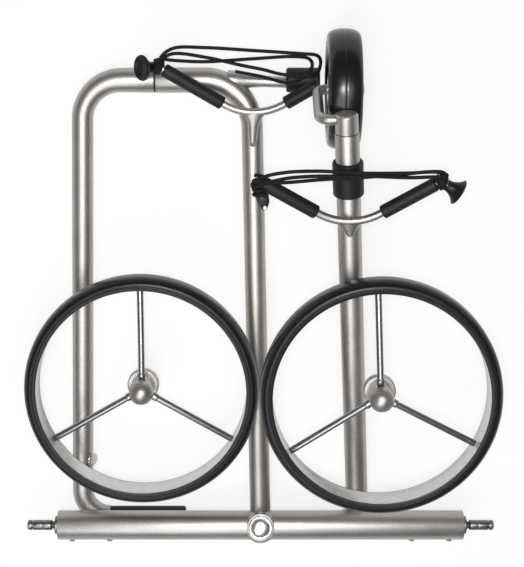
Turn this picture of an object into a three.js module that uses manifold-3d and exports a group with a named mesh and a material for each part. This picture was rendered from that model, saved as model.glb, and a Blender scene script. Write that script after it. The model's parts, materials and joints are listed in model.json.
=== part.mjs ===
// Folded three-wheel golf push cart in titanium tube, lying on its back, with both rear wheels
// taken off their stub axles and laid on the frame. Millimetres, +Z up, +Y towards the top bend.
import * as THREE from "three";
import { mergeVertices } from "three/addons/utils/BufferGeometryUtils.js";
import Module from "manifold-3d";

const wasm = await Module();
wasm.setup();

// ---- driving dimensions -------------------------------------------------------------------
const gap = 0.3; // between pieces that touch
const rooted = 1; // how far a fused piece starts inside its neighbour
const past = 1; // how far a cutter runs past what it cuts

// axle
const axleLength = 516;
const axleRadius = 18.5;
const axleWall = 2;
const axleHeight = 53; // centre of the axle above the ground
const plugDepth = 22;
const plugLip = 1; // how far the plug's end sits inside the tube
const plugEdge = 0.6;
const stubRadius = 6.4;
const stubReach = 30; // bare length outside the neck
const stubChamfer = 1.6;
const shankRadius = 8;
const shankShows = 0.4; // between the collar and the neck
const neckRadius = 4.4;
const neckWidth = 5;
const grooveRadius = 5.2;
const grooveWidth = 1.8;
const grooveFromTip = 5.6;
const collarRadius = 11.5;
const collarWidth = 3.4;
const collarEdge = 0.6;
const screwHeadRadius = 3.6;
const screwHeadHeight = 2.2;
const screwHeadEdge = 1;
const screwStand = 0.5; // head above the tube's round side
const screwShankRadius = 1.9;
const screwLength = 8;
const outerScrewX = 241;
const innerScrewX = 193;

// pivot of the front arm, a bolt through the middle of the axle
const pivotTilt = 15; // degrees from upright, towards the top bend
const bossRadius = 17;
const bossAbove = 6.5; // the boss stands this far above and below the axle tube
const bossBelow = 2.4;
const bossEdge = 1;
const ringRadius = 15;
const ringHeight = 5;
const ringWall = 3.2;
const ringEdge = 1.4;
const boltRadius = 5;
const boltHeadRadius = 11;
const boltHeadRim = 2;
const boltDome = 3.4;
const washerRadius = 16;
const washerHeight = 2;
const lugRadius = 17;
const lugCap = 1; // the lug stands this far above the arm's tube
const lugBelow = 11.5; // from the arm's centre line to the lug's underside
const nutRadius = 9;
const nutHeight = 6;
const nutSunk = 1; // depth of the nut, and room round it, in the lug's recess

// main frame tube: up from the axle, round the top bend and across to the turning joint
const frameTubeRadius = 13;
const crossTubeRadius = 15.3;
const frameLean = 11.3; // sideways offset of the top of the tube
const frameReach = 561.5; // axle to the cross tube
const topBendRadius = 57.9;
const jointX = 128.2; // turning joint, left of the middle
const branchRadius = 7.6;
const branchRise = 4; // the branch meets the buffer this far below the cross tube's line
const bufferRadius = 15;
const bufferStart = 31;
const bufferLength = 41;
const bufferEnd = 6; // solid end of the buffer, past the branch
const bufferEdge = 2.4;
const spigotRadius = 11;
const spigotLength = 16;
const sealHeight = 1.6;
const sealWidth = 1.4;
const sealSunk = 0.2;

// handle
const handleTubeRadius = 13;
const handleBendRadius = 48.6;
const handleTopX = 216.5;
const handleBottomX = 231;
const handleBottomY = -2;
const handleHookRadius = 35;
const gripStartX = 195;
const gripEndX = 97;
const gripEndWall = 4;
const handleGripRadius = 12.3;
const handleGripEdge = 2;
const handleCoreRadius = 9;
const studRadius = 8.6;
const studHeight = 5;
const studEdge = 1.6;
const studY = 78;
const studAngle = 35; // degrees above the tube's side

// front arm
const armTubeRadius = 14;
const armElbowX = 126;
const armElbowRadius = 24;
const armTopX = 98.2;
const armSlope = 14.3; // degrees of rise towards the front wheel
const armCrownY = 514; // the tube ends and the crown begins
const bumperLength = 9;
const bumperWall = 1.4;
const bumperY = 17;
const sleeveRadius = 18;
const sleeveLength = 42;
const sleeveEdge = 2.2;
const sleeveY = 440;
const crownRadius = 13.2;
const crownLength = 23;
const crownEdge = 1.8;
const crownSpigotRadius = 10;
const crownSpigotLength = 18;
const forkRodRadius = 6;
const forkRodFromTop = 7.5;
const forkSeat = 6.6; // how far the rod starts from the crown's axis
const forkRake = 4; // degrees ahead of square to the arm
const forkClear = 5.6; // between the rod and the side of the front wheel
const forkBendRadius = 13;

// front wheel
const frontWheelRadius = 71;
const frontWheelWidth = 39;
const frontWheelX = 97.8;
const crownClear = 1.1; // between the tyre and the crown
const frontTread = 16; // width of the flat of the tread
const frontShoulderDrop = 4;
const frontShoulderWidth = 5;
const frontSideDrop = 10;
const frontBead = 6;
const frontBeadDepth = 3;
const frontRimRadius = 46;
const frontRimInset = 4;
const frontRimWall = 5;
const frontDish = 4; // how much the rim's inside slopes
const frontWeb = 12; // thickness of the hub's web
const frontBossWall = 4;
const frontBossSlope = 3;
const frontBearingRadius = 14;
const frontBearingWidth = 7.3;
const frontBearingInset = 1;
const frontNutRadius = 8;
const frontNutWidth = 5;
const frontNutFlange = 1;
const frontBoreClear = 2; // room in the hub round the rod's axle end

// rear wheels
const wheelRadius = 144.5;
const wheelWidth = 40;
const tyreHeight = 12;
const tyreTread = 22; // width of the flat of the tread
const tyreShoulder = 6;
const tyreLip = 1.5; // the tyre's edge beyond the rim, each side
const beadCover = 1.2; // how far the tyre's edge hides the rim's
const rimWall = 3.2;
const spokeRadius = 4;
const spokeRootRadius = 5;
const spokeRootLength = 7;
const spokeHeight = 1; // above the wheel's middle plane
const hubBallRadius = 15;
const ballHeight = 14; // centre of the ball above the wheel's middle plane
const hubBarrelRadius = 13.5;
const hubBarrelLength = 30;
const hubBoreEnd = 2; // the bore ends this far below the ball's centre
const bearingRadius = 10.4;
const bearingWidth = 8;
const socketRadius = 19.5;
const socketLength = 13;
const socketEdge = 1.5;
const socketClear = 0.5; // between the turning hub and its socket
const stubFit = 0.6; // between a stub axle and the bore it goes into
const latchRadius = 2.6;
const latchReach = 7;
const latchTravel = 3;
const latchSeat = 0.5;
const latchEdge = 1;
// where the wheels lie: the edge nearest the middle and the edge nearest the axle
const leftWheelEdgeX = -1.8;
const leftWheelEdgeY = 42.5;
const rightWheelEdgeX = -1.1;
const rightWheelEdgeY = 53.9;
const rightWheelTurn = 2.5; // degrees

// bag brackets
const bracketRodRadius = 4.7;
const bracketSpread = 31; // degrees of each arm above a straight bar
const bracketBend = 70;
const bracketHookBend = 6;
const bracketGripRadius = 8.2;
const bracketGripEdge = 1.6;
const gripStart = 46;
const rodShows = 1.5; // bare rod past the plain end's grip
const legTipRadius = 1.2;
const upperBracketX = -7.8;
const upperBracketBelow = 47.7; // from the cross tube down to where the two arms' lines would meet
const upperBracketStand = 7.5; // rod's centre line above the frame tube
const upperBracketSlope = 11;
const upperLegLength = 43;
const upperLeftGripEnd = 123; // along the arm, from where the lines meet
const upperRightGripEnd = 88;
const lowerBracketX = 102.4;
const lowerBracketY = 399.6;
const lowerBracketStand = 6.5;
const lowerLegLength = 20;
const lowerLeftGripEnd = 116;
const lowerRightGripEnd = 112;

// elastic cords, their hook and knobs
const cordRadius = 2.7;
const cordStep = 20; // length of one facet along a cord
const cordTurnWidth = 4.4; // the cord's turn round a knob's neck
const cordTurnHeight = 4.6;
const cordTurnClear = 1;
const hookThickness = 7;
const hookTop = 144.5;
const knobRadius = 15.5;
const knobNeckRadius = 6.6;
const knobLength = 17;
const knobFlare = 2.2; // how late the knob widens: 1 is a cone
const knobEdge = 1.4;
const knobDish = 4;
const knobWall = 2; // between the dish and the rod's end
const knobHook = 16; // bare rod between the grip and the knob's neck
const upperKnobTurn = 31; // degrees the rod's end bends back down
const lowerKnobTurn = 64;

// sides of round pieces
const tubeSides = 16;
const rodSides = 10;
const smallSides = 12;
const mediumSides = 16;
const stubSides = 14;
const armRingSides = 18;
const largeSides = 20;
const axleSides = 24;
const frontWheelSides = 24;
const wheelSides = 36;

// ---- materials ----------------------------------------------------------------------------
const finish = (color, roughness, metalness) =>
  new THREE.MeshStandardMaterial({ color, roughness, metalness });
const titanium = finish(0xb9b2ab, 0.45, 0.9);
const steel = finish(0xd4d4d2, 0.15, 1);
const rimSatin = finish(0xc9c9c7, 0.5, 0.6);
const rubber = finish(0x1b1b1c, 0.8, 0);
const tyreRubber = finish(0x161617, 0.7, 0);
const plastic = finish(0x121213, 0.35, 0);
const elastic = finish(0x1e1e1f, 0.9, 0);

// ---- helpers ------------------------------------------------------------------------------
const vec = (x, y, z) => new THREE.Vector3(x, y, z);
const rad = THREE.MathUtils.degToRad;
const X = vec(1, 0, 0);
const Y = vec(0, 1, 0);
const Z = vec(0, 0, 1);
const minus = (v) => v.clone().negate();
const along = (from, way, distance) => from.clone().addScaledVector(way, distance);

// A closed geometry as a solid for joining and cutting.
function solid(geometry) {
  const bare = new THREE.BufferGeometry();
  bare.setAttribute("position", geometry.getAttribute("position").clone());
  if (geometry.index) bare.setIndex(geometry.index.clone());
  const merged = mergeVertices(bare, 1e-4);
  const triVerts = new Uint32Array(merged.index.array);
  const vertProperties = merged.attributes.position.array;
  return new wasm.Manifold(new wasm.Mesh({ numProp: 3, vertProperties, triVerts }));
}

function geometryOf(made) {
  const mesh = made.getMesh();
  const geometry = new THREE.BufferGeometry();
  geometry.setAttribute("position", new THREE.BufferAttribute(new Float32Array(mesh.vertProperties), 3));
  geometry.setIndex(new THREE.BufferAttribute(new Uint32Array(mesh.triVerts), 1));
  geometry.computeVertexNormals();
  return geometry;
}

const join = (first, ...rest) => geometryOf(rest.reduce((sum, g) => sum.add(solid(g)), solid(first)));
const cut = (first, ...rest) => geometryOf(rest.reduce((sum, g) => sum.subtract(solid(g)), solid(first)));

// Places a geometry made along +Z so that +Z points along the given direction from the given point.
function aim(geometry, from, way) {
  const turn = new THREE.Quaternion().setFromUnitVectors(Z, way.clone().normalize());
  return geometry.applyQuaternion(turn).translate(from.x, from.y, from.z);
}

// A turned piece on the Z axis; the profile is a list of [radius, height] from the bottom up.
function turned(profile, sides) {
  const points = profile.map(([r, h]) => new THREE.Vector2(r, h));
  return new THREE.LatheGeometry(points, sides).rotateX(Math.PI / 2);
}

// A turned ring: an outer profile from the bottom up, closed by a straight bore.
function ring(outer, bore, sides) {
  const low = outer[0][1];
  const high = outer[outer.length - 1][1];
  return turned([[bore, low], ...outer, [bore, high], [bore, low]], sides);
}

const rod = (radius, low, high, sides) =>
  turned([[0, low], [radius, low], [radius, high], [0, high]], sides);

// A round bar with its upper end chamfered.
const chamfered = (radius, low, high, edge, sides) =>
  turned([[0, low], [radius, low], [radius, high - edge], [radius - edge, high], [0, high]], sides);

// The profile of a sleeve whose two ends are chamfered.
const sleeveProfile = (radius, low, high, edge) =>
  [[radius - edge, low], [radius, low + edge], [radius, high - edge], [radius - edge, high]];

// Points of a dome from an angle below or at its widest up towards its top, which is left out.
function dome(radius, rise, centre, angle) {
  const angles = [1, 0.75, 0.5, 0.25].map((share) => angle * share);
  return angles.map((a) => [radius * Math.sin(a), centre + rise * Math.cos(a)]);
}

// A profile that is the same on both sides of the middle plane, given from the outside in.
function mirrored(side) {
  const lower = side.map(([r, h]) => [r, -h]).reverse();
  return [...lower, ...side, lower[0]];
}

// The centres and directions of a route through corners, each rounded to its bend radius.
function bentRoute(corners, bends, turnSteps) {
  const ahead = corners.slice(1).map((p, i) => p.clone().sub(corners[i]).normalize());
  const stations = [{ at: corners[0].clone(), ahead: ahead[0] }];
  bends.forEach((bend, i) => {
    const before = ahead[i];
    const angle = before.angleTo(ahead[i + 1]);
    const axis = before.clone().cross(ahead[i + 1]).normalize();
    const inward = axis.clone().cross(before);
    const start = along(corners[i + 1], before, -bend * Math.tan(angle / 2));
    const centre = along(start, inward, bend);
    for (let step = 0; step <= turnSteps; step++) {
      const turn = (angle * step) / turnSteps;
      const at = start.clone().sub(centre).applyAxisAngle(axis, turn).add(centre);
      stations.push({ at, ahead: before.clone().applyAxisAngle(axis, turn) });
    }
  });
  stations.push({ at: corners[corners.length - 1].clone(), ahead: ahead[ahead.length - 1] });
  return stations;
}

// A round bar along stations; radiusAt gives the radius from the distance run and the whole length.
function sweep(stations, radiusAt, sides) {
  const size = typeof radiusAt === "number" ? () => radiusAt : radiusAt;
  const run = [0];
  for (let i = 1; i < stations.length; i++)
    run.push(run[i - 1] + stations[i].at.distanceTo(stations[i - 1].at));
  const length = run[run.length - 1];
  const positions = [];
  const index = [];
  let side = (Math.abs(stations[0].ahead.z) < 0.9 ? Z : X).clone();
  stations.forEach(({ at, ahead }, i) => {
    side = along(side, ahead, -side.dot(ahead)).normalize();
    const up = ahead.clone().cross(side);
    for (let k = 0; k < sides; k++) {
      const angle = (2 * Math.PI * k) / sides;
      const out = side.clone().multiplyScalar(Math.cos(angle)).addScaledVector(up, Math.sin(angle));
      positions.push(...along(at, out, size(run[i], length)).toArray());
    }
  });
  for (let i = 0; i < stations.length - 1; i++)
    for (let k = 0; k < sides; k++) {
      const a = i * sides + k;
      const b = i * sides + ((k + 1) % sides);
      index.push(a, b, a + sides, b, b + sides, a + sides);
    }
  const last = (stations.length - 1) * sides;
  for (let k = 1; k < sides - 1; k++) {
    index.push(0, k + 1, k);
    index.push(last, last + k, last + k + 1);
  }
  const geometry = new THREE.BufferGeometry();
  geometry.setAttribute("position", new THREE.BufferAttribute(new Float32Array(positions), 3));
  geometry.setIndex(index);
  return geometry;
}

function straight(from, to, radius, sides) {
  const ahead = to.clone().sub(from).normalize();
  return sweep([{ at: from, ahead }, { at: to, ahead }], radius, sides);
}

// A stretch of elastic cord through points chosen by hand.
function cordThrough(points) {
  const curve = new THREE.CatmullRomCurve3(points.map((p) => vec(...p)));
  const section = new THREE.Shape().absarc(0, 0, cordRadius, 0, 2 * Math.PI);
  const steps = Math.ceil(curve.getLength() / cordStep);
  return new THREE.ExtrudeGeometry(section, { extrudePath: curve, steps, curveSegments: 3 });
}

const part = new THREE.Group();
const whole = new THREE.Group();
part.add(whole);

function place(parent, name, geometry, material) {
  const mesh = new THREE.Mesh(geometry, material);
  mesh.name = name;
  parent.add(mesh);
}

// ---- shared places ------------------------------------------------------------------------
const axleCentre = vec(0, 0, axleHeight);
const pivotAxis = Z.clone().applyAxisAngle(X, -rad(pivotTilt));
const bossTop = axleRadius + bossAbove; // along the bolt, from the axle's centre
const bossDrop = axleRadius + bossBelow;
const lugAbove = armTubeRadius + lugCap;
const lugDrop = bossDrop + washerHeight + 2 * gap + lugAbove;
const lugCentre = along(axleCentre, pivotAxis, -lugDrop);
const crossHeight = crossTubeRadius; // the cross tube lies on the ground
const onPivot = (geometry) => aim(geometry, axleCentre, pivotAxis);

// the front arm's straight run, from the elbow under the axle to the crown
const armRise = Math.tan(rad(armSlope));
const armLean = (armTopX - armElbowX) / (armCrownY - lugCentre.y);
const armRun = (y) => y - lugCentre.y;
const armAt = (y) => vec(armElbowX + armLean * armRun(y), y, lugCentre.z + armRise * armRun(y));
const armAhead = armAt(1).sub(armAt(0)).normalize();
const armDown = along(minus(Z), armAhead, armAhead.z).normalize();

// ---- axle ---------------------------------------------------------------------------------
const halfAxle = axleLength / 2;
const alongAxle = (geometry) => geometry.rotateY(Math.PI / 2).translate(0, 0, axleHeight);

function bossSolid(extra) {
  const radius = bossRadius + extra;
  return solid(onPivot(chamfered(radius, -bossDrop, bossTop, bossEdge, largeSides)));
}

const screwPlaces = [-outerScrewX, -innerScrewX, innerScrewX, outerScrewX];
const screwHole = () => rod(screwShankRadius + gap, -screwLength - past, past, rodSides - 2);
const screwAt = (x, geometry) => aim(geometry, vec(x, -axleRadius, axleHeight), minus(Y));

function axleTube() {
  const outer = [[axleRadius, -halfAxle], [axleRadius, halfAxle]];
  const tube = alongAxle(ring(outer, axleRadius - axleWall, axleSides));
  const bore = onPivot(rod(boltRadius + gap, -lugDrop, bossTop + past, smallSides));
  const holes = screwPlaces.map((x) => screwAt(x, screwHole()));
  return cut(geometryOf(solid(tube).add(bossSolid(0))), bore, ...holes);
}

function screw() {
  const shank = [[0, -screwLength], [screwShankRadius, -screwLength], [screwShankRadius, screwStand]];
  const top = screwStand + screwHeadHeight;
  const head = [
    [screwHeadRadius, screwStand], [screwHeadRadius, top - screwHeadEdge],
    [screwHeadRadius - screwHeadEdge, top], [0, top],
  ];
  return turned([...shank, ...head], rodSides - 2);
}

// The collar, the stub and its plug are made standing on the tube's end face.
function axleCollar() {
  const top = gap + collarWidth;
  const outer = [[collarRadius, gap], [collarRadius, top - collarEdge], [collarRadius - collarEdge, top]];
  return ring(outer, shankRadius + gap, mediumSides);
}

function stubAxle() {
  const plugRadius = axleRadius - axleWall - gap;
  const neck = gap + collarWidth + shankShows;
  const start = neck + neckWidth;
  const tip = start + stubReach;
  const groove = tip - grooveFromTip;
  const plug = [
    [0, -plugDepth], [plugRadius, -plugDepth], [plugRadius, -plugLip - plugEdge],
    [plugRadius - plugEdge, -plugLip], [shankRadius, -plugLip], [shankRadius, neck],
  ];
  const stub = [
    [neckRadius, neck + neckWidth / 2], [stubRadius, start], [stubRadius, groove - grooveWidth],
    [grooveRadius, groove - grooveWidth], [grooveRadius, groove], [stubRadius, groove],
    [stubRadius, tip - stubChamfer], [stubRadius - stubChamfer, tip], [0, tip],
  ];
  const hole = aim(screwHole(), vec(0, -axleRadius, outerScrewX - halfAxle), minus(Y));
  return cut(turned([...plug, ...stub], stubSides), hole);
}

// ---- pivot of the front arm ---------------------------------------------------------------
function pivotRing() {
  const low = bossTop + gap;
  const high = low + ringHeight;
  const outer = [[ringRadius, low], [ringRadius, high - ringEdge], [ringRadius - ringEdge, high]];
  return onPivot(ring(outer, ringRadius - ringWall, mediumSides));
}

const nutTop = lugDrop + lugBelow - nutHeight - nutSunk;

function pivotBolt() {
  const low = bossTop + gap;
  const rim = low + boltHeadRim;
  const tip = lugDrop + lugBelow - nutSunk;
  const shank = [[0, -tip], [boltRadius, -tip], [boltRadius, low], [boltHeadRadius, low]];
  const head = [...dome(boltHeadRadius, boltDome, rim, Math.PI / 2), [0, rim + boltDome]];
  return onPivot(turned([...shank, ...head], smallSides));
}

function pivotWasher() {
  const top = -bossDrop - gap;
  const outer = [[washerRadius, top - washerHeight], [washerRadius, top]];
  return onPivot(ring(outer, boltRadius + gap, mediumSides));
}

function pivotNut() {
  const bottom = -nutTop - nutHeight;
  const body = rod(nutRadius, bottom, -nutTop - gap, 6);
  return onPivot(cut(body, rod(boltRadius + gap, bottom - past, 0, mediumSides)));
}

// ---- main frame ---------------------------------------------------------------------------
const frameTop = vec(-frameLean, frameReach, crossHeight);
const jointCentre = vec(-jointX, frameReach, crossHeight);
const jointFace = gap + sealWidth / 2; // from the joint's plane to each tube's end
const frameAt = (y) => axleCentre.clone().lerp(frameTop, y / frameReach);
const ease = (t) => THREE.MathUtils.smoothstep(t, 0, 1);

function frameSweep(extra) {
  const corners = [axleCentre, frameTop, along(jointCentre, X, jointFace)];
  const bendStart = axleCentre.distanceTo(frameTop) - topBendRadius;
  const bendLength = (topBendRadius * Math.PI) / 2;
  const growth = crossTubeRadius - frameTubeRadius;
  const radius = (run) => frameTubeRadius + growth * ease((run - bendStart) / bendLength) + extra;
  return sweep(bentRoute(corners, [topBendRadius], 8), radius, tubeSides);
}

const branchFrom = along(frameTop, X, -topBendRadius / 2);
const branchTo = vec(bufferStart + bufferLength - bufferEnd, frameReach - branchRise, crossHeight);

function mainFrame() {
  const branch = straight(branchFrom, branchTo, branchRadius, smallSides);
  const spigot = rod(spigotRadius, -rooted, spigotLength + 2 * jointFace, mediumSides);
  const cope = alongAxle(rod(axleRadius + gap, -halfAxle, halfAxle, axleSides));
  const joined = join(frameSweep(0), branch, aim(spigot, along(jointCentre, X, jointFace), minus(X)));
  return geometryOf(solid(cut(joined, cope)).subtract(bossSolid(gap)));
}

function jointSeal() {
  const outer = crossTubeRadius - sealSunk;
  const half = sealWidth / 2;
  const profile = [[crossTubeRadius - sealHeight, -half], [outer, -half], [outer, half]];
  return aim(ring(profile, spigotRadius + gap, mediumSides), jointCentre, minus(X));
}

function branchBuffer() {
  const outer = sleeveProfile(bufferRadius, 0, bufferLength, bufferEdge).slice(1);
  const body = turned([[0, 0], [bufferRadius - bufferEdge, 0], ...outer, [0, bufferLength]], mediumSides);
  const bore = straight(branchFrom, along(branchTo, X, gap), branchRadius + gap, smallSides);
  return cut(aim(body, vec(bufferStart, frameReach, crossHeight), X), bore);
}

// ---- handle -------------------------------------------------------------------------------
const handleBottom = vec(-handleBottomX, handleBottomY, crossHeight);
const handleTop = vec(-handleTopX, frameReach, crossHeight);
const handleEnd = vec(-gripStartX, handleBottomY, crossHeight);
const handleRun = frameReach - handleBottomY;
const handleAt = (y) => handleBottom.clone().lerp(handleTop, (y - handleBottomY) / handleRun);

function handleSweep(extra) {
  const corners = [along(jointCentre, X, -jointFace), handleTop, handleBottom, handleEnd];
  const bendLength = (handleBendRadius * Math.PI) / 2 + handleTopX - jointX - handleBendRadius;
  const growth = handleTubeRadius - crossTubeRadius;
  const radius = (run) => crossTubeRadius + growth * ease(run / bendLength) + extra;
  return sweep(bentRoute(corners, [handleBendRadius, handleHookRadius], 7), radius, tubeSides);
}

function handleTube() {
  const core = rod(handleCoreRadius, -rooted, gripStartX - gripEndX - gripEndWall, smallSides);
  const socket = rod(spigotRadius + gap, -past, spigotLength + jointFace + gap, mediumSides);
  return cut(join(handleSweep(0), aim(core, handleEnd, X)), aim(socket, jointCentre, minus(X)));
}

function handleGrip() {
  const length = gripStartX - gripEndX;
  const body = chamfered(handleGripRadius, gap, length, handleGripEdge, mediumSides);
  const bore = rod(handleCoreRadius + gap, -past, length - gripEndWall + gap, smallSides);
  return aim(cut(body, bore), handleEnd, X);
}

function handleStud() {
  const out = vec(Math.cos(rad(studAngle)), 0, Math.sin(rad(studAngle)));
  const body = chamfered(studRadius, 0, handleTubeRadius + studHeight, studEdge, mediumSides);
  return cut(aim(body, handleAt(studY), out), handleSweep(gap));
}

// ---- front arm ----------------------------------------------------------------------------
const armEnd = armAt(armCrownY);
const onArm = (geometry, y) => aim(geometry, armAt(y), armAhead);

function armSweep(extra) {
  const elbow = vec(armElbowX, lugCentre.y, lugCentre.z);
  return sweep(bentRoute([lugCentre, elbow, armEnd], [armElbowRadius], 6), armTubeRadius + extra, tubeSides);
}

function armTube() {
  const atLug = (geometry) => aim(geometry, lugCentre, pivotAxis);
  const lug = atLug(rod(lugRadius, -lugBelow, lugAbove, largeSides));
  const bore = atLug(rod(boltRadius + gap, -lugDrop, lugDrop, smallSides));
  const recess = atLug(rod(nutRadius + nutSunk, -lugDrop, nutHeight + nutSunk - lugBelow, mediumSides));
  const socket = rod(crownSpigotRadius + gap, -crownSpigotLength - gap, past, mediumSides);
  return cut(join(armSweep(0), lug), bore, recess, onArm(socket, armCrownY));
}

function armBumper() {
  const outer = armTubeRadius + bumperWall;
  return onArm(ring([[outer, 0], [outer, bumperLength]], armTubeRadius + gap, armRingSides), bumperY);
}

function armSleeve() {
  const outer = sleeveProfile(sleeveRadius, 0, sleeveLength, sleeveEdge);
  return onArm(ring(outer, armTubeRadius + gap, armRingSides), sleeveY);
}

const halfFrontWheel = frontWheelWidth / 2;
const forkDrop = frontWheelRadius + crownRadius + crownClear;
const forkTop = along(armEnd, armAhead, crownLength - forkRodFromTop);
const forkStart = along(forkTop, X, -forkSeat);
const forkSide = frontWheelX - halfFrontWheel - forkClear - forkRodRadius;
const forkAhead = armDown.clone().applyAxisAngle(X, rad(forkRake));
const forkElbow = forkTop.clone().setX(forkSide);
const hubCentre = along(forkElbow, forkAhead, forkDrop).setX(frontWheelX);

function forkRod() {
  const axleStart = hubCentre.clone().setX(forkSide);
  const axleEnd = along(hubCentre, X, halfFrontWheel + frontNutWidth);
  const route = bentRoute([forkStart, forkElbow, axleStart, axleEnd], [forkBendRadius, forkBendRadius], 5);
  return sweep(route, forkRodRadius, smallSides);
}

function forkCrown() {
  const spigot = [[0, -crownSpigotLength], [crownSpigotRadius, -crownSpigotLength], [crownSpigotRadius, gap]];
  const cap = [
    [crownRadius, gap], [crownRadius, crownLength - crownEdge],
    [crownRadius - crownEdge, crownLength], [0, crownLength],
  ];
  const hole = straight(along(forkStart, X, gap), forkElbow, forkRodRadius + gap, mediumSides);
  return cut(onArm(turned([...spigot, ...cap], mediumSides), armCrownY), hole);
}

// ---- front wheel --------------------------------------------------------------------------
const onFrontHub = (geometry) => aim(geometry, hubCentre, X);

function frontTyre() {
  const half = halfFrontWheel;
  const side = [
    [frontWheelRadius, frontTread / 2],
    [frontWheelRadius - frontShoulderDrop, half - frontShoulderWidth],
    [frontWheelRadius - frontSideDrop, half],
    [frontRimRadius + frontBead, half],
    [frontRimRadius + gap, half - frontBeadDepth],
  ];
  return onFrontHub(turned(mirrored(side), frontWheelSides));
}

function frontHub() {
  const half = halfFrontWheel;
  const seat = frontBearingRadius + gap;
  const seatEnd = half - frontBearingInset - frontBearingWidth - gap;
  const rimFace = half - frontRimInset;
  const web = frontWeb / 2;
  const side = [
    [frontRimRadius, rimFace],
    [frontRimRadius - frontRimWall, rimFace],
    [frontRimRadius - frontRimWall - frontDish, web],
    [seat + frontBossWall + frontBossSlope, web],
    [seat + frontBossWall, half - frontBearingInset],
    [seat, half - frontBearingInset],
    [seat, seatEnd],
    [forkRodRadius + frontBoreClear, seatEnd],
  ];
  return onFrontHub(turned(mirrored(side), frontWheelSides));
}

function frontBearing(end) {
  const high = halfFrontWheel - frontBearingInset;
  const faces = [end * high, end * (high - frontBearingWidth)].sort((a, b) => a - b);
  return onFrontHub(ring(faces.map((h) => [frontBearingRadius, h]), forkRodRadius + gap, mediumSides));
}

function frontNut() {
  const low = halfFrontWheel + gap;
  const high = halfFrontWheel + frontNutWidth;
  const outer = [[frontNutRadius + frontNutFlange, low], [frontNutRadius, high]];
  return onFrontHub(ring(outer, forkRodRadius + gap, mediumSides));
}

// ---- rear wheels, made about their own axis with the outer side up -------------------------
const halfWheel = wheelWidth / 2;
const halfRim = halfWheel - tyreLip;
const tyreBore = wheelRadius - tyreHeight;
const rimRadius = tyreBore - gap;
const rimInnerRadius = rimRadius - rimWall;
const hubBoreRadius = stubRadius + stubFit;
const hubLow = ballHeight - hubBarrelLength;
const hubBoreTop = ballHeight - hubBoreEnd;
const socketTop = hubLow - socketClear;
const socketLow = socketTop - socketLength;
// the pin's height in the socket matches the neck of the stub axle when the socket meets the collar
const latchHeight = socketLow + gap + shankShows + neckWidth / 2;
const latchStart = hubBoreRadius + latchTravel;

function rearTyre() {
  const side = [
    [wheelRadius, tyreTread / 2],
    [wheelRadius - tyreShoulder, halfWheel],
    [rimRadius - beadCover, halfWheel],
    [rimRadius - beadCover, halfRim + gap],
    [tyreBore, halfRim + gap],
  ];
  return turned(mirrored(side), wheelSides);
}

const rearRim = () => ring([[rimRadius, -halfRim], [rimRadius, halfRim]], rimInnerRadius, wheelSides);

function spoke(angle) {
  const root = hubBarrelRadius + gap;
  const rootEnd = root + spokeRootLength;
  const tip = rimInnerRadius - 2 * gap;
  const thick = [[0, root], [spokeRootRadius, root], [spokeRootRadius, rootEnd]];
  const thin = [[spokeRadius, rootEnd + spokeRootRadius - spokeRadius], [spokeRadius, tip], [0, tip]];
  const way = vec(Math.cos(rad(angle)), Math.sin(rad(angle)), 0);
  return aim(turned([...thick, ...thin], rodSides), vec(0, 0, spokeHeight), way);
}

function wheelHub() {
  const bearingTop = hubLow + bearingWidth + gap;
  const underside = Math.PI - Math.asin(hubBarrelRadius / hubBallRadius);
  const ball = dome(hubBallRadius, hubBallRadius, ballHeight, underside);
  const seat = bearingRadius + gap;
  const inside = [[hubBoreRadius, bearingTop], [seat, bearingTop], [seat, hubLow]];
  const bore = [[0, hubBoreTop], [hubBoreRadius, hubBoreTop], [hubBoreRadius, bearingTop]];
  const outside = [[hubBarrelRadius, hubLow], ...ball, [0, ballHeight + hubBallRadius]];
  return turned([...inside, ...outside, ...bore], mediumSides);
}

const hubBearing = () =>
  ring([[bearingRadius, hubLow], [bearingRadius, hubLow + bearingWidth]], hubBoreRadius, mediumSides);

const onLatch = (geometry) => aim(geometry, vec(0, 0, latchHeight), minus(Y));

function hubSocket() {
  const outer = sleeveProfile(socketRadius, socketLow, socketTop, socketEdge);
  const bore = rod(latchRadius + gap, latchStart, socketRadius + past, rodSides);
  return cut(ring(outer, hubBoreRadius, mediumSides), onLatch(bore));
}

const latchPin = () =>
  onLatch(chamfered(latchRadius, latchStart + latchSeat, socketRadius + latchReach, latchEdge, rodSides));

function rearWheel(side, x, y, seat, turn) {
  const group = new THREE.Group();
  group.position.set(x, y, seat + halfWheel);
  place(group, side + "_tyre", rearTyre(), tyreRubber);
  place(group, side + "_rim", rearRim(), rimSatin);
  [90, 210, 330].forEach((angle, i) => place(group, side + "_spoke_" + (i + 1), spoke(angle + turn), steel));
  place(group, side + "_hub", wheelHub(), titanium);
  place(group, side + "_hub_bearing", hubBearing(), steel);
  place(group, side + "_hub_socket", hubSocket(), titanium);
  place(group, side + "_latch_pin", latchPin(), steel);
  return group;
}

// The left wheel lies on the frame tube, level with it at the wheel's middle.
const leftWheelX = leftWheelEdgeX - wheelRadius;
const leftWheelY = leftWheelEdgeY + wheelRadius;
const leftWheelSeat = frameAt(leftWheelY).z + frameTubeRadius + gap;

// The right wheel lies on the rising front arm, where the arm leaves its far edge.
const rightWheelX = rightWheelEdgeX + wheelRadius;
const rightWheelY = rightWheelEdgeY + wheelRadius;
const sideways = rightWheelX - armAt(rightWheelY + wheelRadius).x;
const armLeaves = rightWheelY + Math.sqrt((wheelRadius - tyreShoulder) ** 2 - sideways ** 2);
const rightWheelSeat = armAt(armLeaves).z + armTubeRadius / Math.cos(rad(armSlope)) + gap;

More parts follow.
